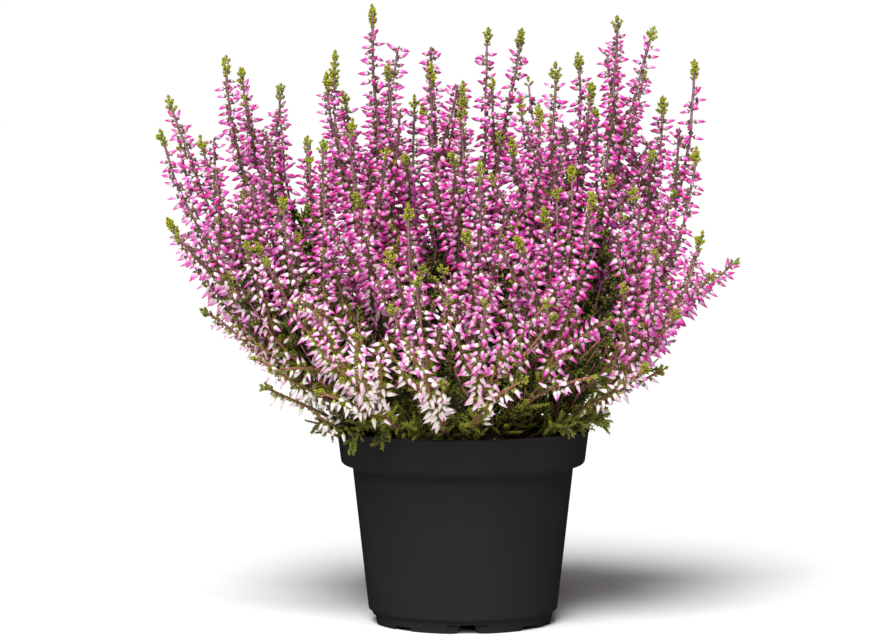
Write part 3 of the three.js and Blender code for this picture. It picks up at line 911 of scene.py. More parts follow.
def bend_clear(routes):
    """Bends the routes of different plants clear of each other, mostly in depth."""
    last = ROUTE_POINTS - 1
    rest = np.array([route.points for route in routes])
    shifts = np.zeros_like(rest)
    owner = np.repeat(np.arange(len(routes)), last)
    step = np.tile(np.arange(1, ROUTE_POINTS), len(routes))
    plant = np.array([route.plant for route in routes])[owner]
    clear = np.array([CLEAR_AT_BASE if route.leafy else CLEAR for route in routes])[owner]
    for _ in range(BEND_ROUNDS):
        spots = (rest + shifts)[:, 1:].reshape(-1, 3)
        square = (spots**2).sum(1)
        apart2 = square[:, None] + square[None] - 2 * spots @ spots.T
        a, b = np.nonzero(np.triu(apart2 < CLEAR**2, 1))
        other = plant[a] != plant[b]
        a, b = a[other], b[other]
        share = np.minimum(1, np.minimum(step[a], step[b]) / (CLEAR_FROM * last))
        need = CLEAR_AT_BASE + ((clear[a] + clear[b]) / 2 - CLEAR_AT_BASE) * share
        apart = np.linalg.norm(spots[a] - spots[b], axis=1)
        close = apart < need
        a, b, need, apart = a[close], b[close], need[close], apart[close]
        push = (spots[a] - spots[b]) * (BEND_STEP * (need - apart) / apart)[:, None] * BEND_FREEDOM
        pushes = np.zeros_like(spots)
        np.add.at(pushes, a, push)
        np.subtract.at(pushes, b, push)
        pushes = pushes.reshape(len(routes), last, 3)
        for r, route in enumerate(routes):
            row = shifts[r].copy()
            row[1:] += pushes[r]
            row[0] = shifts[route.parent][route.index] if route.parent is not None else 0
            after = np.vstack([row[2:], row[-1:]])
            shifts[r][1:] = 0.5 * row[1:] + 0.25 * row[:-1] + 0.25 * after
            shifts[r][0] = row[0]
    for route, shift in zip(routes, shifts):
        route.points = route.points + shift


@functools.cache
def routes():
    """The routes of all stems and shoots, plant by plant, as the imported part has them."""
    draws = Draws(SEED)
    groups = [np.array(group) * MM for group in FRONT_STEMS + back_tips(draws)]
    turns = [turn * DEGREE for turn, _, _ in SHOOTS]
    bases = [base_of(group[0]) for group in groups]
    bases += [SHOOT_BASE * np.array([math.cos(turn), math.sin(turn), 0]) for turn in turns]
    spread_bases(bases)
    made = []
    for plant, tips in enumerate(groups):
        main = len(made)
        made.append(Route(plant, main_route(bases[plant], tips[0], draws), None, 0, False))
        for fork, tip in zip(FORKS, tips[1:]):
            points, index = side_route(made[main].points, fork, tip)
            made.append(Route(plant, points, main, index, False))
    for i, (turn, reach, height) in enumerate(SHOOTS):
        for aside in (0, SHOOT_FORK_TURN):
            base = bases[len(groups) + i]
            angle, far = (turn + aside) * DEGREE, reach - aside / 4
            tip = np.array([far * math.cos(angle), far * math.sin(angle), height + aside / 5]) * MM
            middle = (base + tip) / 2
            middle[2] = 2 * SHOOT_ARCH - middle[2]
            parent = len(made) - 1 if aside else None
            made.append(Route(len(groups) + i, bow(base, middle, tip), parent, 0, True))
    bend_clear(made)
    return made


@dataclass
class Habit:
    """How side twigs of one kind grow: where on their stem they may start, as shares of its
    length, their lengths and leans, how far they stay from other stems, how many there are, how
    steeply they climb, how far inside the end of the stem they end and how high against it."""

    starts: tuple
    lengths: tuple
    leans: tuple
    clear: float
    limit: int
    climb: float
    inside: float
    ceiling: float
    leafy: bool


SPIKES = Habit((0.3, 0.36, 0.42, 0.48, 0.54, 0.6, 0.66), (26 * MM, 56 * MM),
               (18 * DEGREE, 38 * DEGREE), 6.5 * MM, 216, 0.6, 0, 0.98, False)
RIM_SPRIGS = Habit((0.06, 0.1, 0.14), (18 * MM, 32 * MM),
                   (20 * DEGREE, 60 * DEGREE), 4 * MM, 26, 0.1, 0, 1, False)
INNER_TWIGS = Habit((0.05, 0.1, 0.15, 0.2, 0.25, 0.3, 0.36, 0.42), (35 * MM, 75 * MM),
                    (15 * DEGREE, 50 * DEGREE), 3.4 * MM, 215, 0.66, 24 * MM, 0.76, True)
TRIES = 12
GREEN_SPIKES = 0.3  # share of the side spikes that end in a green top
LOWEST_END = 101 * MM  # of a side twig
INSIDE_BOX = 7 * MM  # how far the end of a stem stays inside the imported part's box
FOLLOW_UP = 0.35  # how much of its first lean a side twig keeps once it turns up
TURN_UP = np.array([0, 0, 0.4])  # and how strongly it turns up
SIDE_FOOT = 0.55 * MM  # radius of a side twig at its foot


def branch(twig, share, lean, turn, long):
    """Points of a side twig that leaves at an angle and then turns up."""
    way = np.array([share * twig.line.length])
    start, along = twig.line.place(way)[0], twig.line.heading(way)[0]
    level, over = (side[0] for side in twig.line.sides(way))
    out = level * math.cos(turn) + over * math.sin(turn)
    leave = along * math.cos(lean) + out * math.sin(lean)
    after = unit(along + FOLLOW_UP * out + TURN_UP)
    t = np.linspace(0, 1, 8)[:, None]
    middle = start + leave * long / 2
    return (1 - t) ** 2 * start + 2 * t * (1 - t) * middle + t**2 * (middle + after * long / 2)


def may_stand(points, twig, habit):
    """Whether a side twig may stand here: it climbs, and it ends no further out or higher than
    its own stem goes."""
    end = points[-1]
    rise = end[2] - points[0][2]
    if end[2] < LOWEST_END or rise < habit.climb * np.linalg.norm(end - points[0]):
        return False
    low, high = (np.array(corner) for corner in CAD_BOX)
    if (end < low + INSIDE_BOX).any() or (end > high - INSIDE_BOX).any():
        return False
    outermost = np.hypot(twig.line.points[:, 0], twig.line.points[:, 1]).max()
    highest = habit.ceiling * twig.line.points[:, 2].max()
    return math.hypot(end[0], end[1]) < outermost - habit.inside and end[2] < highest


def grow_between(twigs, habit, luck):
    """Adds side twigs where there is room for them between the stems that are there."""
    taken = np.vstack([twig.line.points[::2] for twig in twigs])
    places = [(twig, share) for twig in twigs if not twig.leafy for share in habit.starts]
    luck.shuffle(places)
    added = []
    for twig, share in places:
        for _ in range(TRIES):
            lean, turn = luck.uniform(*habit.leans), luck.uniform(0, 2 * math.pi)
            points = branch(twig, share, lean, turn, luck.uniform(*habit.lengths))
            if not may_stand(points, twig, habit):
                continue
            if np.linalg.norm(points[3:, None] - taken[None], axis=2).min() > habit.clear:
                line = Line(points)
                added.append(Twig(twig.plant, line, habit.leafy, SIDE_FOOT))
                taken = np.vstack([taken, line.points[::3]])
                break
        if len(added) == habit.limit:
            break
    return added


LOWEST_BUDS = 97 * MM
FRONT = -58 * MM  # stems that end before this flower from further down
# Most side spikes that end lower and nearer to the pot's axis than this bear only leaves.
LOW_SPIKE, WIDE_SPIKE = 160 * MM, 98 * MM
LEAFY_SPIKES = 0.7  # their share
TALL = 180 * MM  # height of the tip from which a stem counts as tall
FLOWERS_FROM = ((0.16, 0.3), (0.34, 0.46))  # share of a low and a tall stem below its flowers
FRONT_FACTOR = 0.95
TOPS = ((3.5, 7), (7, 11))  # green top of a low and a tall stem, in millimetres
SPRIG_TOPS = (3, 4.5)
SIDE_STEM = 0.8  # thickness of a side stem against a main stem
SHOOT_FOOT = 0.6 * MM  # radius of a leafy shoot at its foot
LONG_TOPS = {7: 18, 15: 20}  # plants whose main stem has a long green top, in millimetres
BARE_TOPS = {9, 11, 13}  # plants whose main stem flowers to its tip


@functools.cache
def twigs():
    """All stems and side stems of all plants, with where they flower."""
    luck = np.random.RandomState(SEED)
    noise.seed_set(SEED)  # without it the offsets of noise_vector change from run to run
    settings = bpy.context.scene.heather_stems
    stems = []
    for route in routes():
        line = Line(wavy(route.points))
        main = route.parent is None
        foot = settings.foot * (1 if main else SIDE_STEM)
        twig = Twig(route.plant, line, route.leafy, foot, root=main)
        if route.leafy:
            twig.foot = SHOOT_FOOT
        else:
            tall = int(line.points[-1][2] > TALL)
            share = luck.uniform(*FLOWERS_FROM[tall])
            share *= FRONT_FACTOR if line.points[-1][1] < FRONT else 1
            lowest = LOWEST_BUDS + luck.uniform(0, 16) * MM
            above = line.way[np.argmax(line.points[:, 2] > lowest)]
            twig.flowers_from = min(max(share * line.length, above), 0.5 * line.length)
            twig.green = luck.uniform(*TOPS[tall]) * MM
        if main and route.plant in LONG_TOPS:
            twig.green = LONG_TOPS[route.plant] * MM
        if main and route.plant in BARE_TOPS:
            twig.green = 0
        stems.append(twig)
    sprigs = grow_between(stems, RIM_SPRIGS, luck)
    for sprig in sprigs:
        sprig.flowers_from = 0.3 * sprig.line.length
        sprig.green = luck.uniform(*SPRIG_TOPS) * MM
    stems += sprigs
    spikes = grow_between(stems, SPIKES, luck)
    for spike in spikes:
        x, y, z = spike.line.points[-1]
        hidden = z < LOW_SPIKE and math.hypot(x, y) < WIDE_SPIKE
        spike.leafy = hidden and luck.uniform() < LEAFY_SPIKES
        spike.flowers_from = luck.uniform(0.1, 0.25) * spike.line.length
        spike.green = luck.uniform(*TOPS[0]) * MM if luck.uniform() < GREEN_SPIKES else 0
    return stems + spikes + grow_between(stems + spikes, INNER_TWIGS, luck)


# ---- Dressing a twig -------------------------------------------------------------------------
PALE_FROM, PALE_TO = 176 * MM, 92 * MM  # heights between which buds turn from magenta to white
WHITE_FROM, WHITE_TO = 131 * MM, 105 * MM  # and between which the lowest lose their pink points
PALE_SLANT = 0.3  # how much lower the buds turn pale, for each metre towards +X
PALE_MOST = 1.6  # paleness at which even the point of a bud is nearly white
PLUMP_HEIGHTS = (165 * MM, 225 * MM)  # heights between which the buds turn from slim to plump
PITCHES = [0.85, 0.95, 1, 1.1, 1.3]  # spacings of the buds, one for each twig
MISSING_BUDS, MISSING_LOW = 0.07, 0.38  # share of buds that are missing, and how much more low down
FULL_SIZE = 45 * MM  # how far below a stem's top the buds have their full size and hang
BUD_LEAN, BUD_LEAN_SPREAD = 78, 18  # of the buds from their stem, in degrees
DROOP, DROOP_GROWN, DROOP_LOW = 0.05, 0.48, 0.2  # how far all buds hang, grown ones and low ones
AGE_SPREAD = 0.07
CUP_AGE, CUP_AGE_LOW = 0.67, 0.26  # place in the row of leaf colours, and how much greener low down
BRACT_AGE, BRACT_AGE_LOW = 0.68, 0.4


def pairs_on(line, first, last, pitch, luck):
    """Places for pairs of organs between two lengths along a line, each pair a quarter turn from
    the last: their number in the row, length along the line, spot, heading and outward side."""
    count = max(0, int((last - first) / pitch))
    pair = np.repeat(np.arange(count), 2)
    way = first + pitch * (pair + luck.uniform(-0.35, 0.35, len(pair)))
    turns = pair * math.pi / 2 + np.tile([0, math.pi], count) + TWIST_RATE * way
    turns += luck.uniform(-0.4, 0.4, len(pair))
    level, over = line.sides(way)
    out = level * np.cos(turns)[:, None] + over * np.sin(turns)[:, None]
    return pair, way, line.place(way), line.heading(way), out


def leaning(out, along, lean):
    """Directions that lean away from the heading of a stem towards its outside."""
    return out * np.sin(lean)[:, None] + along * np.cos(lean)[:, None]


def dress_flowers(growth, twig, luck):
    """Pairs of buds in four rows, each bud in a cup of small leaves, and leaves between them."""
    pitch = bpy.context.scene.heather_flowers.pitch * luck.choice(PITCHES)
    last = twig.line.length - 0.85 * twig.green
    pair, way, spots, along, out = pairs_on(twig.line, twig.flowers_from, last, pitch, luck)
    if not len(pair):
        return
    dress_stem_leaves(growth, spots, along, out, luck)
    missing = MISSING_BUDS + MISSING_LOW * smoothstep(PALE_FROM, PALE_TO, spots[:, 2])
    keep = luck.uniform(size=len(pair)) > missing
    way, spots, along, out = way[keep], spots[keep], along[keep], out[keep]
    count = len(way)
    low = smoothstep(PALE_FROM, PALE_TO, spots[:, 2] + PALE_SLANT * spots[:, 0])
    direction = leaning(out, along, (BUD_LEAN + luck.normal(0, BUD_LEAN_SPREAD, count)) * DEGREE)
    open_for = smoothstep(0, FULL_SIZE, last - way)
    hang = DROOP_GROWN * open_for + DROOP_LOW * low
    direction[:, 2] -= DROOP + hang * luck.uniform(0.4, 1.5, count)
    high = smoothstep(*PLUMP_HEIGHTS, spots[:, 2])
    size = luck.uniform(0.88, 1.1, count) * (0.85 + 0.15 * open_for) * (1.04 - 0.04 * high)
    lowest = smoothstep(WHITE_FROM, WHITE_TO, spots[:, 2])
    pale = 0.62 * low + 0.85 * lowest + luck.normal(0, 0.13, count) + luck.uniform(-0.1, 0.18)
    pale = np.clip(pale, 0, PALE_MOST)
    tone = np.clip(luck.normal(0.5, 0.2, count) + luck.uniform(-0.2, 0.25), 0, 1)
    roll = luck.uniform(0, 2 * math.pi, count)
    fullness = 1 - 0.2 * low + 0.2 * lowest - 0.04 * high
    thick = size * luck.uniform(0.86, 1.06, count) * fullness
    turned = standing(direction, roll, np.stack([thick, thick, size], 1))
    plump = luck.uniform(size=count) < high
    for own, shape in ((plump, PLUMP_BUD), (~plump, SLIM_BUD)):
        growth.add(bud(shape), spots[own], turned[own], pale[own], tone[own])
    direction = unit(direction)
    age = CUP_AGE - CUP_AGE_LOW * low + luck.normal(0, AGE_SPREAD, count)
    growth.add(cup(), spots + direction * (CUP_START * size)[:, None],
               standing(direction, luck.uniform(0, 6, count), size), age, luck.uniform(size=count))


def dress_stem_leaves(growth, spots, along, out, luck):
    """A leaf under each bud, close to the stem."""
    direction = leaning(out, along, luck.uniform(15, 45, len(spots)) * DEGREE)
    size = luck.uniform(1.5, 2.3, len(spots)) * MM
    low = smoothstep(PALE_FROM, PALE_TO, spots[:, 2])
    age = BRACT_AGE - BRACT_AGE_LOW * low + luck.normal(0, AGE_SPREAD, len(spots))
    roll = luck.uniform(0, 2 * math.pi, len(spots))
    growth.add(leaf(), spots, standing(direction, roll, size), age, luck.uniform(size=len(spots)))


def dress_green_top(growth, twig, luck):
    """The leafy top: knobs in pairs that lie closer to the stem towards its point."""
    line = twig.line
    pair, way, spots, along, out = pairs_on(line, line.length - twig.green,
                                            line.length - 1.2 * MM, 1.5 * MM, luck)
    share = (way - way[0]) / twig.green
    direction = leaning(out, along, (50 - 28 * share) * DEGREE)
    size = np.interp(share, [0, 0.2, 0.6, 1], [0.7, 1.15, 1.1, 0.8])
    size *= luck.uniform(0.85, 1.15, len(pair))
    fresh = luck.uniform(0.1, 0.27) - 0.08 * (line.points[-1, 2] < PALE_FROM)
    roll = luck.uniform(0, 2 * math.pi, len(pair))
    growth.add(knob(), spots, standing(direction, roll, size), fresh + 0.08 * share,
               luck.uniform(size=len(pair)))
    end = np.array([line.length - 2 * MM])
    upright = standing(line.heading(end), [0], [1])
    growth.add(knob(), line.place(end), upright, [fresh + 0.08], [0.5])


def dress_leaves(growth, twig, first, last, luck, age):
    """Pairs of leaves in four rows along a leafy stem."""
    pair, way, spots, along, out = pairs_on(twig.line, first, last, LEAF_PITCH, luck)
    direction = leaning(out, along, luck.uniform(30, 55, len(pair)) * DEGREE)
    size = bpy.context.scene.heather_leaves.leaf * luck.uniform(0.85, 1.25, len(pair))
    roll = luck.uniform(0, 2 * math.pi, len(pair))
    share = (way - first) / (last - first)
    growth.add(leaf(), spots, standing(direction, roll, size), age + 0.16 * share,
               luck.uniform(size=len(pair)))


@dataclass
class Sprays:
    """Leafy side shoots of one kind: their spacing, how many pairs of leaves they may have, their
    place in the row of leaf colours, how far they turn up and their size."""

    pitch: float
    pairs: tuple
    age: float
    lift: float = 0.25
    grow: float = 1


FOOT_SPRAYS = Sprays(3.3 * MM, (7, 10, 13), 0.12)
MIDDLE_SPRAYS = Sprays(4.4 * MM, (6, 9), 0.17)
FLOWER_SPRAYS = Sprays(10 * MM, (6, 8), 0.16)
# Sprays inside the bush get the darkest, oldest leaf colour: partly old leaves, partly painted shade
# for the dark inside of the bush.
INNER_SPRAYS = Sprays(8 * MM, (6, 8), -0.08, 0.35, 1.8)
SHOOT_SPRAYS = Sprays(1.9 * MM, (6, 8, 11), 0.02, 0.1, 0.95)


def dress_sprays(growth, twig, first, last, kind, luck):
    """Leafy side shoots in pairs between two lengths along a stem."""
    pair, way, spots, along, out = pairs_on(twig.line, first, last, kind.pitch, luck)
    if not len(pair):
        return
    direction = leaning(out, along, luck.uniform(35, 65, len(pair)) * DEGREE)
    direction[:, 2] += kind.lift
    roll = luck.uniform(0, 2 * math.pi, len(pair))
    size = kind.grow * luck.uniform(0.75, 1.1, len(pair))
    ages = kind.age + luck.normal(0, 0.05, len(pair))
    lucks = luck.uniform(size=len(pair))
    choice = luck.randint(0, len(kind.pairs), len(pair))
    for k, count in enumerate(kind.pairs):
        own = choice == k
        growth.add(spray(count), spots[own], standing(direction[own], roll[own], size[own]),
                   ages[own], lucks[own])


ROOTED = 6 * MM  # length of a main stem in the peat
LEAFY_TIP = 0.6  # thickness of a leafy twig's end against a flowering one's


def wood(name, plant_twigs):
    """The stems of one plant: a tube along each twig, thinner towards its end."""
    curve = bpy.data.curves.new(name, "CURVE")
    curve.dimensions = "3D"
    curve.bevel_depth = 1
    curve.bevel_resolution = 0
    curve.use_fill_caps = True
    tip = bpy.context.scene.heather_stems.tip
    for twig in plant_twigs:
        points = twig.line.points[::3]
        if twig.root:
            down = twig.line.heading(np.array([0.0]))[0]
            points = np.vstack([points[0] - ROOTED * down, points])
        spline = curve.splines.new("POLY")
        spline.points.add(len(points) - 1)
        spline.points.foreach_set("co", np.hstack([points, np.ones((len(points), 1))]).reshape(-1))
        end = LEAFY_TIP * tip if twig.leafy else tip
        radii = twig.foot + (end - twig.foot) * np.linspace(0, 1, len(points)) ** 0.8
        spline.points.foreach_set("radius", radii)
        spline.use_smooth = True
    piece = bpy.data.objects.new(name, curve)
    bpy.context.scene.collection.objects.link(piece)
    choose(piece)
    bpy.ops.object.convert(target="MESH")
    return bpy.context.object


def grown_plant(name, plant, dress):
    """One plant: its wood, with the leaves and buds that dress puts on its twigs."""
    own = [twig for twig in twigs() if twig.plant == plant]
    growth = Growth()
    luck = np.random.RandomState(SEED + 100 + plant)
    for twig in own:
        dress(growth, twig, luck)
    piece = growth.as_piece(name, [bark(), scale_leaf(), sepal()])
    stems = wood(name + "_wood", own)
    for layer in ("form", "tint"):
        stems.data.uv_layers.new(name=layer)
    stems.data.materials.append(bark())
    choose(piece, stems)
    bpy.ops.object.join()
    return piece


def dress_stem(growth, twig, luck):
    """A flowering stem: leafy side shoots below, buds above, and a green top. A leafy one inside
    the bush has side shoots all along."""
    if twig.leafy:
        dress_sprays(growth, twig, 4 * MM, twig.line.length, INNER_SPRAYS, luck)
        return
    dress_flowers(growth, twig, luck)
    if twig.green:
        dress_green_top(growth, twig, luck)
    if twig.flowers_from > 14 * MM:
        first = luck.uniform(1, 9) * MM
        middle = 0.6 * twig.flowers_from
        dress_sprays(growth, twig, first, middle, FOOT_SPRAYS, luck)
        dress_sprays(growth, twig, middle, 1.15 * twig.flowers_from, MIDDLE_SPRAYS, luck)
    upper = 0.72 * twig.line.length
    dress_sprays(growth, twig, twig.flowers_from, upper, FLOWER_SPRAYS, luck)


def dress_shoot(growth, twig, luck):
    """A low leafy shoot, leaved all along, with short side shoots."""
    long = twig.line.length
    dress_leaves(growth, twig, 3 * MM, long, luck, 0.04)
    dress_sprays(growth, twig, 5 * MM, long - 3 * MM, SHOOT_SPRAYS, luck)


# ---- Pieces ----------------------------------------------------------------------------------
def inner_wall(settings):
    """The inside of the pot as rings of radius and height, from the floor up to the lip."""
    return [
        (FOOT_RADIUS, FLOOR_TOP),
        (WALL_FOOT_RADIUS - settings.wall, FLOOR_TOP + 2.2 * MM),
        (WALL_TOP_RADIUS - settings.wall, COLLAR_BOTTOM + settings.wall),
        (COLLAR_RADIUS - 2.2 * MM, COLLAR_BOTTOM + 2.4 * MM),
        (COLLAR_RADIUS - settings.wall, COLLAR_BOTTOM + 5 * MM),
    ]


def bar(name, outline, near, far):
    """A bar with this outline of (across, height), laid out from the pot's axis from near to far."""
    deselect()
    bpy.ops.mesh.primitive_circle_add(vertices=len(outline), radius=1, fill_type="NGON")
    piece = bpy.context.object
    piece.name = name
    for vertex, (across, height) in zip(piece.data.vertices, outline):
        vertex.co = (near, across, height)
    bpy.ops.object.mode_set(mode="EDIT")
    bpy.ops.mesh.select_all(action="SELECT")
    bpy.ops.mesh.extrude_region_move(TRANSFORM_OT_translate={"value": (far - near, 0, 0)})
    bpy.ops.mesh.select_all(action="SELECT")
    bpy.ops.mesh.normals_make_consistent(inside=False)
    bpy.ops.object.mode_set(mode="OBJECT")
    return piece


def cut_away(piece, cutter):
    """Cuts the cutter out of the piece."""
    cut = piece.modifiers.new("cut", "BOOLEAN")
    cut.operation = "DIFFERENCE"
    cut.solver = "EXACT"
    cut.object = cutter
    apply_modifiers(piece)
    bpy.data.objects.remove(cutter)


def cut_foot(piece):
    """Cuts the notches, their recesses and the drain holes of the foot."""
    low = -OVERCUT
    half, corner = WIDE_NOTCH_TOP / 2, NOTCH_CORNER
    left = arc((-half - corner, corner), corner, -90, 0, 8)
    flare = [(-half - corner, low), *left, (-half, NOTCH_HEIGHT), (half, NOTCH_HEIGHT)]
    flare += [(-x, z) for x, z in reversed(left)] + [(half + corner, low)]
    wide, deep = RECESS[0] / 2, FOOT_RADIUS - RECESS[1]
    top = NOTCH_HEIGHT - CUT_CORNER
    recess = [(wide, low), *arc((wide - CUT_CORNER, top), CUT_CORNER, 0, 90, 4),
              *arc((CUT_CORNER - wide, top), CUT_CORNER, 90, 180, 4), (-wide, low)]
    width, height = NARROW_NOTCH
    narrow = [(width / 2, low), (width / 2 - CUT_CORNER, height),
              (CUT_CORNER - width / 2, height), (-width / 2, low)]
    near, far = FOOT_RADIUS - FOOT_RING - 2 * MM, FOOT_RADIUS + 3 * MM
    for i in range(NOTCHES):
        turn = -90 * DEGREE + POT_TURN + i * 2 * math.pi / NOTCHES
        cutters = [drawn_out("drain", 16, [(DRAIN_RADIUS, 0), (DRAIN_RADIUS, FLOOR_TOP + 2 * MM)])]
        cutters[0].data.transform(Matrix.Translation((DRAIN_CIRCLE, 0, 0)))
        if i % 2:
            cutters.append(bar("narrow", narrow, near, far))
        else:
            cutters += [bar("flare", flare, near, far), bar("recess", recess, deep, far)]
        for cutter in cutters:
            cutter.data.transform(Matrix.Rotation(turn, 4, "Z"))
            cut_away(piece, cutter)


def make_pot():
    """The pot: one moulded wall with a collar, a rolled lip and a notched foot."""
    settings = bpy.context.scene.heather_pot
    lip = settings.lip
    outside = [
        (FOOT_RADIUS - FOOT_RING, FLOOR_BOTTOM), (FOOT_RADIUS - FOOT_RING, 0.3 * MM),
        (FOOT_RADIUS - FOOT_RING + 0.3 * MM, 0), (FOOT_RADIUS - 0.3 * MM, 0),
        (FOOT_RADIUS, 0.3 * MM), (FOOT_RADIUS + 1 * MM, FOOT_STEP),
        *arc((WALL_FOOT_RADIUS - 1.6 * MM, FOOT_STEP + 2 * MM), 1.6 * MM, -75, 0, 5),
        (WALL_TOP_RADIUS, COLLAR_BOTTOM - 0.4 * MM), (WALL_TOP_RADIUS + 0.5 * MM, COLLAR_BOTTOM),
        (COLLAR_RADIUS - 2.6 * MM, COLLAR_BOTTOM + 1.3 * MM),
        *arc((COLLAR_RADIUS - 2.6 * MM, COLLAR_BOTTOM + 3.9 * MM), 2.6 * MM, -70, 0, 6),
        (RIM_RADIUS - 0.6 * MM, POT_HEIGHT - 2 * MM),
        *arc((RIM_RADIUS - lip, POT_HEIGHT - lip), lip, 0, 180, 8),
    ]
    inside = inner_wall(settings)[::-1]
    piece = drawn_out("nursery_pot", POT_SIDES, outside + inside)
    cut_foot(piece)
    piece.data.materials.append(polypropylene())
    choose(piece)
    bpy.ops.object.shade_smooth_by_angle(angle=SMOOTH_UNDER)
    place_piece(piece, "pot_plastic", "pot")


def mound(x, y):
    """Height of the low mounds in the peat at a place."""
    coarse = noise.noise(Vector((x, y, 0)) / PEAT_LUMP)
    fine = noise.noise(Vector((x, y, 1)) / (PEAT_LUMP / 4))
    return bpy.context.scene.heather_peat.roughness * (coarse + 0.35 * fine)


def make_peat():
    """The plug of peat, its top in low mounds."""
    wall = inner_wall(bpy.context.scene.heather_pot)
    side = [(radius - GAP, height + GAP) for radius, height in wall]
    radii = np.linspace(COLLAR_RADIUS - 1.2 * MM, 1.4 * MM, 26)
    top = [(radius, peat_height(radius)) for radius in radii]
    piece = drawn_out("peat_plug", 96, side + top)
    for vertex in piece.data.vertices:
        x, y, z = vertex.co
        if z > PEAT_EDGE - 0.5 * MM:
            inside = smoothstep(COLLAR_RADIUS, 0.9 * COLLAR_RADIUS, math.hypot(x, y))
            vertex.co.z += mound(x, y) * inside
    piece.data.materials.append(peat_moss())
    piece.data.shade_smooth()
    place_piece(piece, "peat", "peat")


def make_peat_bits():
    """Crumbs and torn fibres on the peat."""
    settings = bpy.context.scene.heather_peat
    luck = np.random.RandomState(SEED + 2)
    deselect()
    bpy.ops.mesh.primitive_ico_sphere_add(subdivisions=1, radius=1)
    lump = bpy.context.object
    bpy.ops.object.mode_set(mode="EDIT")
    bpy.ops.mesh.select_all(action="SELECT")
    bpy.ops.transform.resize(value=(1, 0.75, 0.6))
    bpy.ops.object.mode_set(mode="OBJECT")
    for vertex in lump.data.vertices:
        vertex.co *= luck.uniform(0.7, 1.25)
    crumb = form_of(lump, 0)
    sliver = form_of(drawn_out("sliver", 3, [(0, 0), (0.04, 0.3), (0.03, 0.7), (0, 1)]), 0)
    sliver.points[:, 0] += 0.6 * sliver.points[:, 2] * (1 - sliver.points[:, 2])
    growth = Growth()
    for form, count, sizes, flat in (
        (crumb, settings.crumbs, (0.5 * MM, 1.4 * MM), 1),
        (sliver, settings.fibres, (3 * MM, 8 * MM), 0.25),
    ):
        radius = 0.96 * (COLLAR_RADIUS - 2 * MM) * np.sqrt(luck.uniform(size=count))
        turn = luck.uniform(0, 2 * math.pi, count)
        x, y = radius * np.cos(turn), radius * np.sin(turn)
        z = np.array([peat_height(r) + mound(a, b) for r, a, b in zip(radius, x, y)])
        way = luck.uniform(0, 2 * math.pi, count)
        direction = np.stack([np.cos(way), np.sin(way), flat * luck.uniform(-0.2, 1, count)], 1)
        size = luck.uniform(*sizes, count)
        growth.add(form, np.stack([x, y, z], 1), standing(direction, luck.uniform(0, 6, count), size),
                   np.zeros(count), luck.uniform(size=count) ** 2)
    piece = growth.as_piece("peat_fibres", [peat_fibre()])
    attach(piece, "root")


# ---- Operators -------------------------------------------------------------------------------
class HEATHER_OT_pot(bpy.types.Operator):
    """Make the nursery pot"""

    bl_idname = "heather.pot"
    bl_label = "Pot"

    def execute(self, context):
        make_pot()
        return {"FINISHED"}


class HEATHER_OT_peat(bpy.types.Operator):
    """Make the peat with its crumbs and fibres"""

    bl_idname = "heather.peat"
    bl_label = "Peat"

    def execute(self, context):
        make_peat()
        make_peat_bits()
        return {"FINISHED"}


def plants_of(kind):
    """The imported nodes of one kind, in the order of their numbers."""
    return sorted(name for name in frame["nodes"] if name.startswith(kind))


class HEATHER_OT_flowering_stems(bpy.types.Operator):
    """Grow the flowering stems with their buds, leaves and green tops"""

    bl_idname = "heather.flowering_stems"
    bl_label = "Flowering stems"

    def execute(self, context):
        for plant, node in enumerate(plants_of("flowering_stem_")):
            name = node.replace("flowering_stem", "heather_stem")
            place_piece(grown_plant(name, plant, dress_stem), "flowering_stems", node)
        return {"FINISHED"}


class HEATHER_OT_leafy_shoots(bpy.types.Operator):
    """Grow the low leafy shoots round the pot's lip"""

    bl_idname = "heather.leafy_shoots"
    bl_label = "Leafy shoots"

    def execute(self, context):
        first = len(plants_of("flowering_stem_"))
        for i, node in enumerate(plants_of("leafy_shoot_")):
            name = node.replace("leafy_shoot", "heather_shoot")
            place_piece(grown_plant(name, first + i, dress_shoot), "green_shoots", node)
        return {"FINISHED"}


# The camera stands in front of the pot, a little above the flowers, and looks slightly down.
CAMERA = (0, -1622 * MM, 248 * MM)
LOOKED_AT = (-7.8 * MM, 0, 143.1 * MM)
LENS = 138.7
FLOOR_SIZE = 60
FRONT_LIGHT = (0.05, -1.9, 0.8)
FRONT_LIGHT_SIZE = 0.7
LIT = (0, 0, 150 * MM)  # what the front light is turned to
TOP_LIGHT = (-0.15, -0.62, 0.77)  # where the light from above comes from
TOP_LIGHT_SPREAD = 32 * DEGREE  # which sets how soft its shadows are


def aimed(data, place, target):
    """Stands a light or a camera at a place and turns it to its target."""
    made = bpy.data.objects.new(data.name, data)
    made.location = place
    towards = Vector(target) - Vector(place)
    made.rotation_euler = towards.to_track_quat("-Z", "Y").to_euler()
    bpy.context.scene.collection.objects.link(made)
    return made


def white_room(strength):
    """A room that looks white and lights the heather softly from all sides."""
    world = bpy.data.worlds.new("white_room")
    world.use_nodes = True
    tree = world.node_tree
    tree.nodes.clear()
    seen = add(tree, "ShaderNodeLightPath")
    level = add(tree, "ShaderNodeMapRange", {"Value": seen.outputs[0], "To Min": strength})
    room = add(tree, "ShaderNodeBackground", {"Color": (1, 1, 1, 1), "Strength": level.outputs[0]})
    add(tree, "ShaderNodeOutputWorld", {"Surface": room.outputs[0]})
    return world


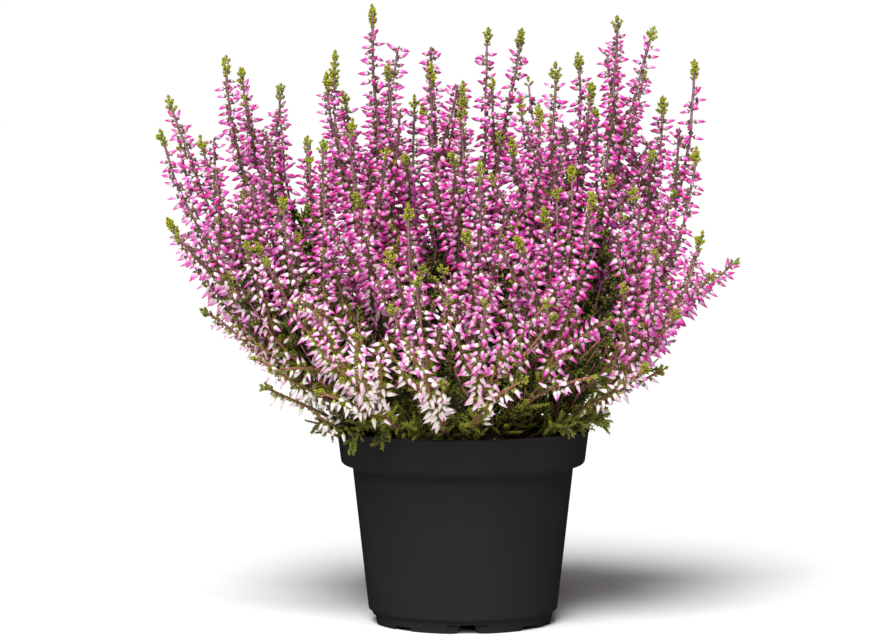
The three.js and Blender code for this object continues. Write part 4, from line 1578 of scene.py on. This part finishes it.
class HEATHER_OT_studio(bpy.types.Operator):
    """Set up the floor, the lights and the camera"""

    bl_idname = "heather.studio"
    bl_label = "Studio"

    def execute(self, context):
        scene = context.scene
        settings = scene.heather_studio
        deselect()
        bpy.ops.mesh.primitive_plane_add(size=FLOOR_SIZE)
        floor = context.object
        floor.name = "studio_floor"
        floor.data.materials.append(painted_floor())
        front = bpy.data.lights.new("front_light", "AREA")
        front.energy = settings.key
        front.size = FRONT_LIGHT_SIZE
        aimed(front, FRONT_LIGHT, LIT)
        above = bpy.data.lights.new("top_light", "SUN")
        above.energy = settings.top
        above.angle = TOP_LIGHT_SPREAD
        overhead = bpy.data.objects.new("top_light", above)
        overhead.rotation_euler = Vector(TOP_LIGHT).to_track_quat("Z", "Y").to_euler()
        scene.collection.objects.link(overhead)
        scene.world = white_room(settings.room)
        scene.view_settings.view_transform = "Standard"
        camera = bpy.data.cameras.new("camera")
        camera.lens = LENS
        scene.camera = aimed(camera, CAMERA, LOOKED_AT)
        return {"FINISHED"}


class HEATHER_PT_panel(bpy.types.Panel):
    """The heather's pieces"""

    bl_label = "Potted Heather"
    bl_space_type = "VIEW_3D"
    bl_region_type = "UI"
    bl_category = "Heather"

    def draw(self, context):
        for operator, groups in STEPS:
            box = self.layout.box()
            box.operator(operator.bl_idname)
            for group in groups:
                for name in GROUPS[group].__annotations__:
                    box.prop(getattr(context.scene, group), name)


GROUPS = {
    "heather_pot": PotSettings, "heather_peat": PeatSettings, "heather_stems": StemSettings,
    "heather_flowers": FlowerSettings, "heather_leaves": LeafSettings,
    "heather_studio": StudioSettings,
}
STEPS = [
    (HEATHER_OT_pot, ["heather_pot"]),
    (HEATHER_OT_peat, ["heather_peat"]),
    (HEATHER_OT_flowering_stems, ["heather_stems", "heather_flowers"]),
    (HEATHER_OT_leafy_shoots, ["heather_leaves"]),
    (HEATHER_OT_studio, ["heather_studio"]),
]
CLASSES = [*GROUPS.values(), *[operator for operator, _ in STEPS], HEATHER_PT_panel]


def register():
    for cls in CLASSES:
        bpy.utils.register_class(cls)
    for name, group in GROUPS.items():
        setattr(bpy.types.Scene, name, PointerProperty(type=group))


def unregister():
    for name in GROUPS:
        delattr(bpy.types.Scene, name)
    for cls in reversed(CLASSES):
        bpy.utils.unregister_class(cls)


def main():
    register()
    for operator, _ in STEPS:
        step = getattr(bpy.ops.heather, operator.bl_idname.split(".")[1])
        if step() != {"FINISHED"}:
            raise RuntimeError(operator.bl_label + " was not made")
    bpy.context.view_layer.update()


if __name__ == "__main__":
    main()
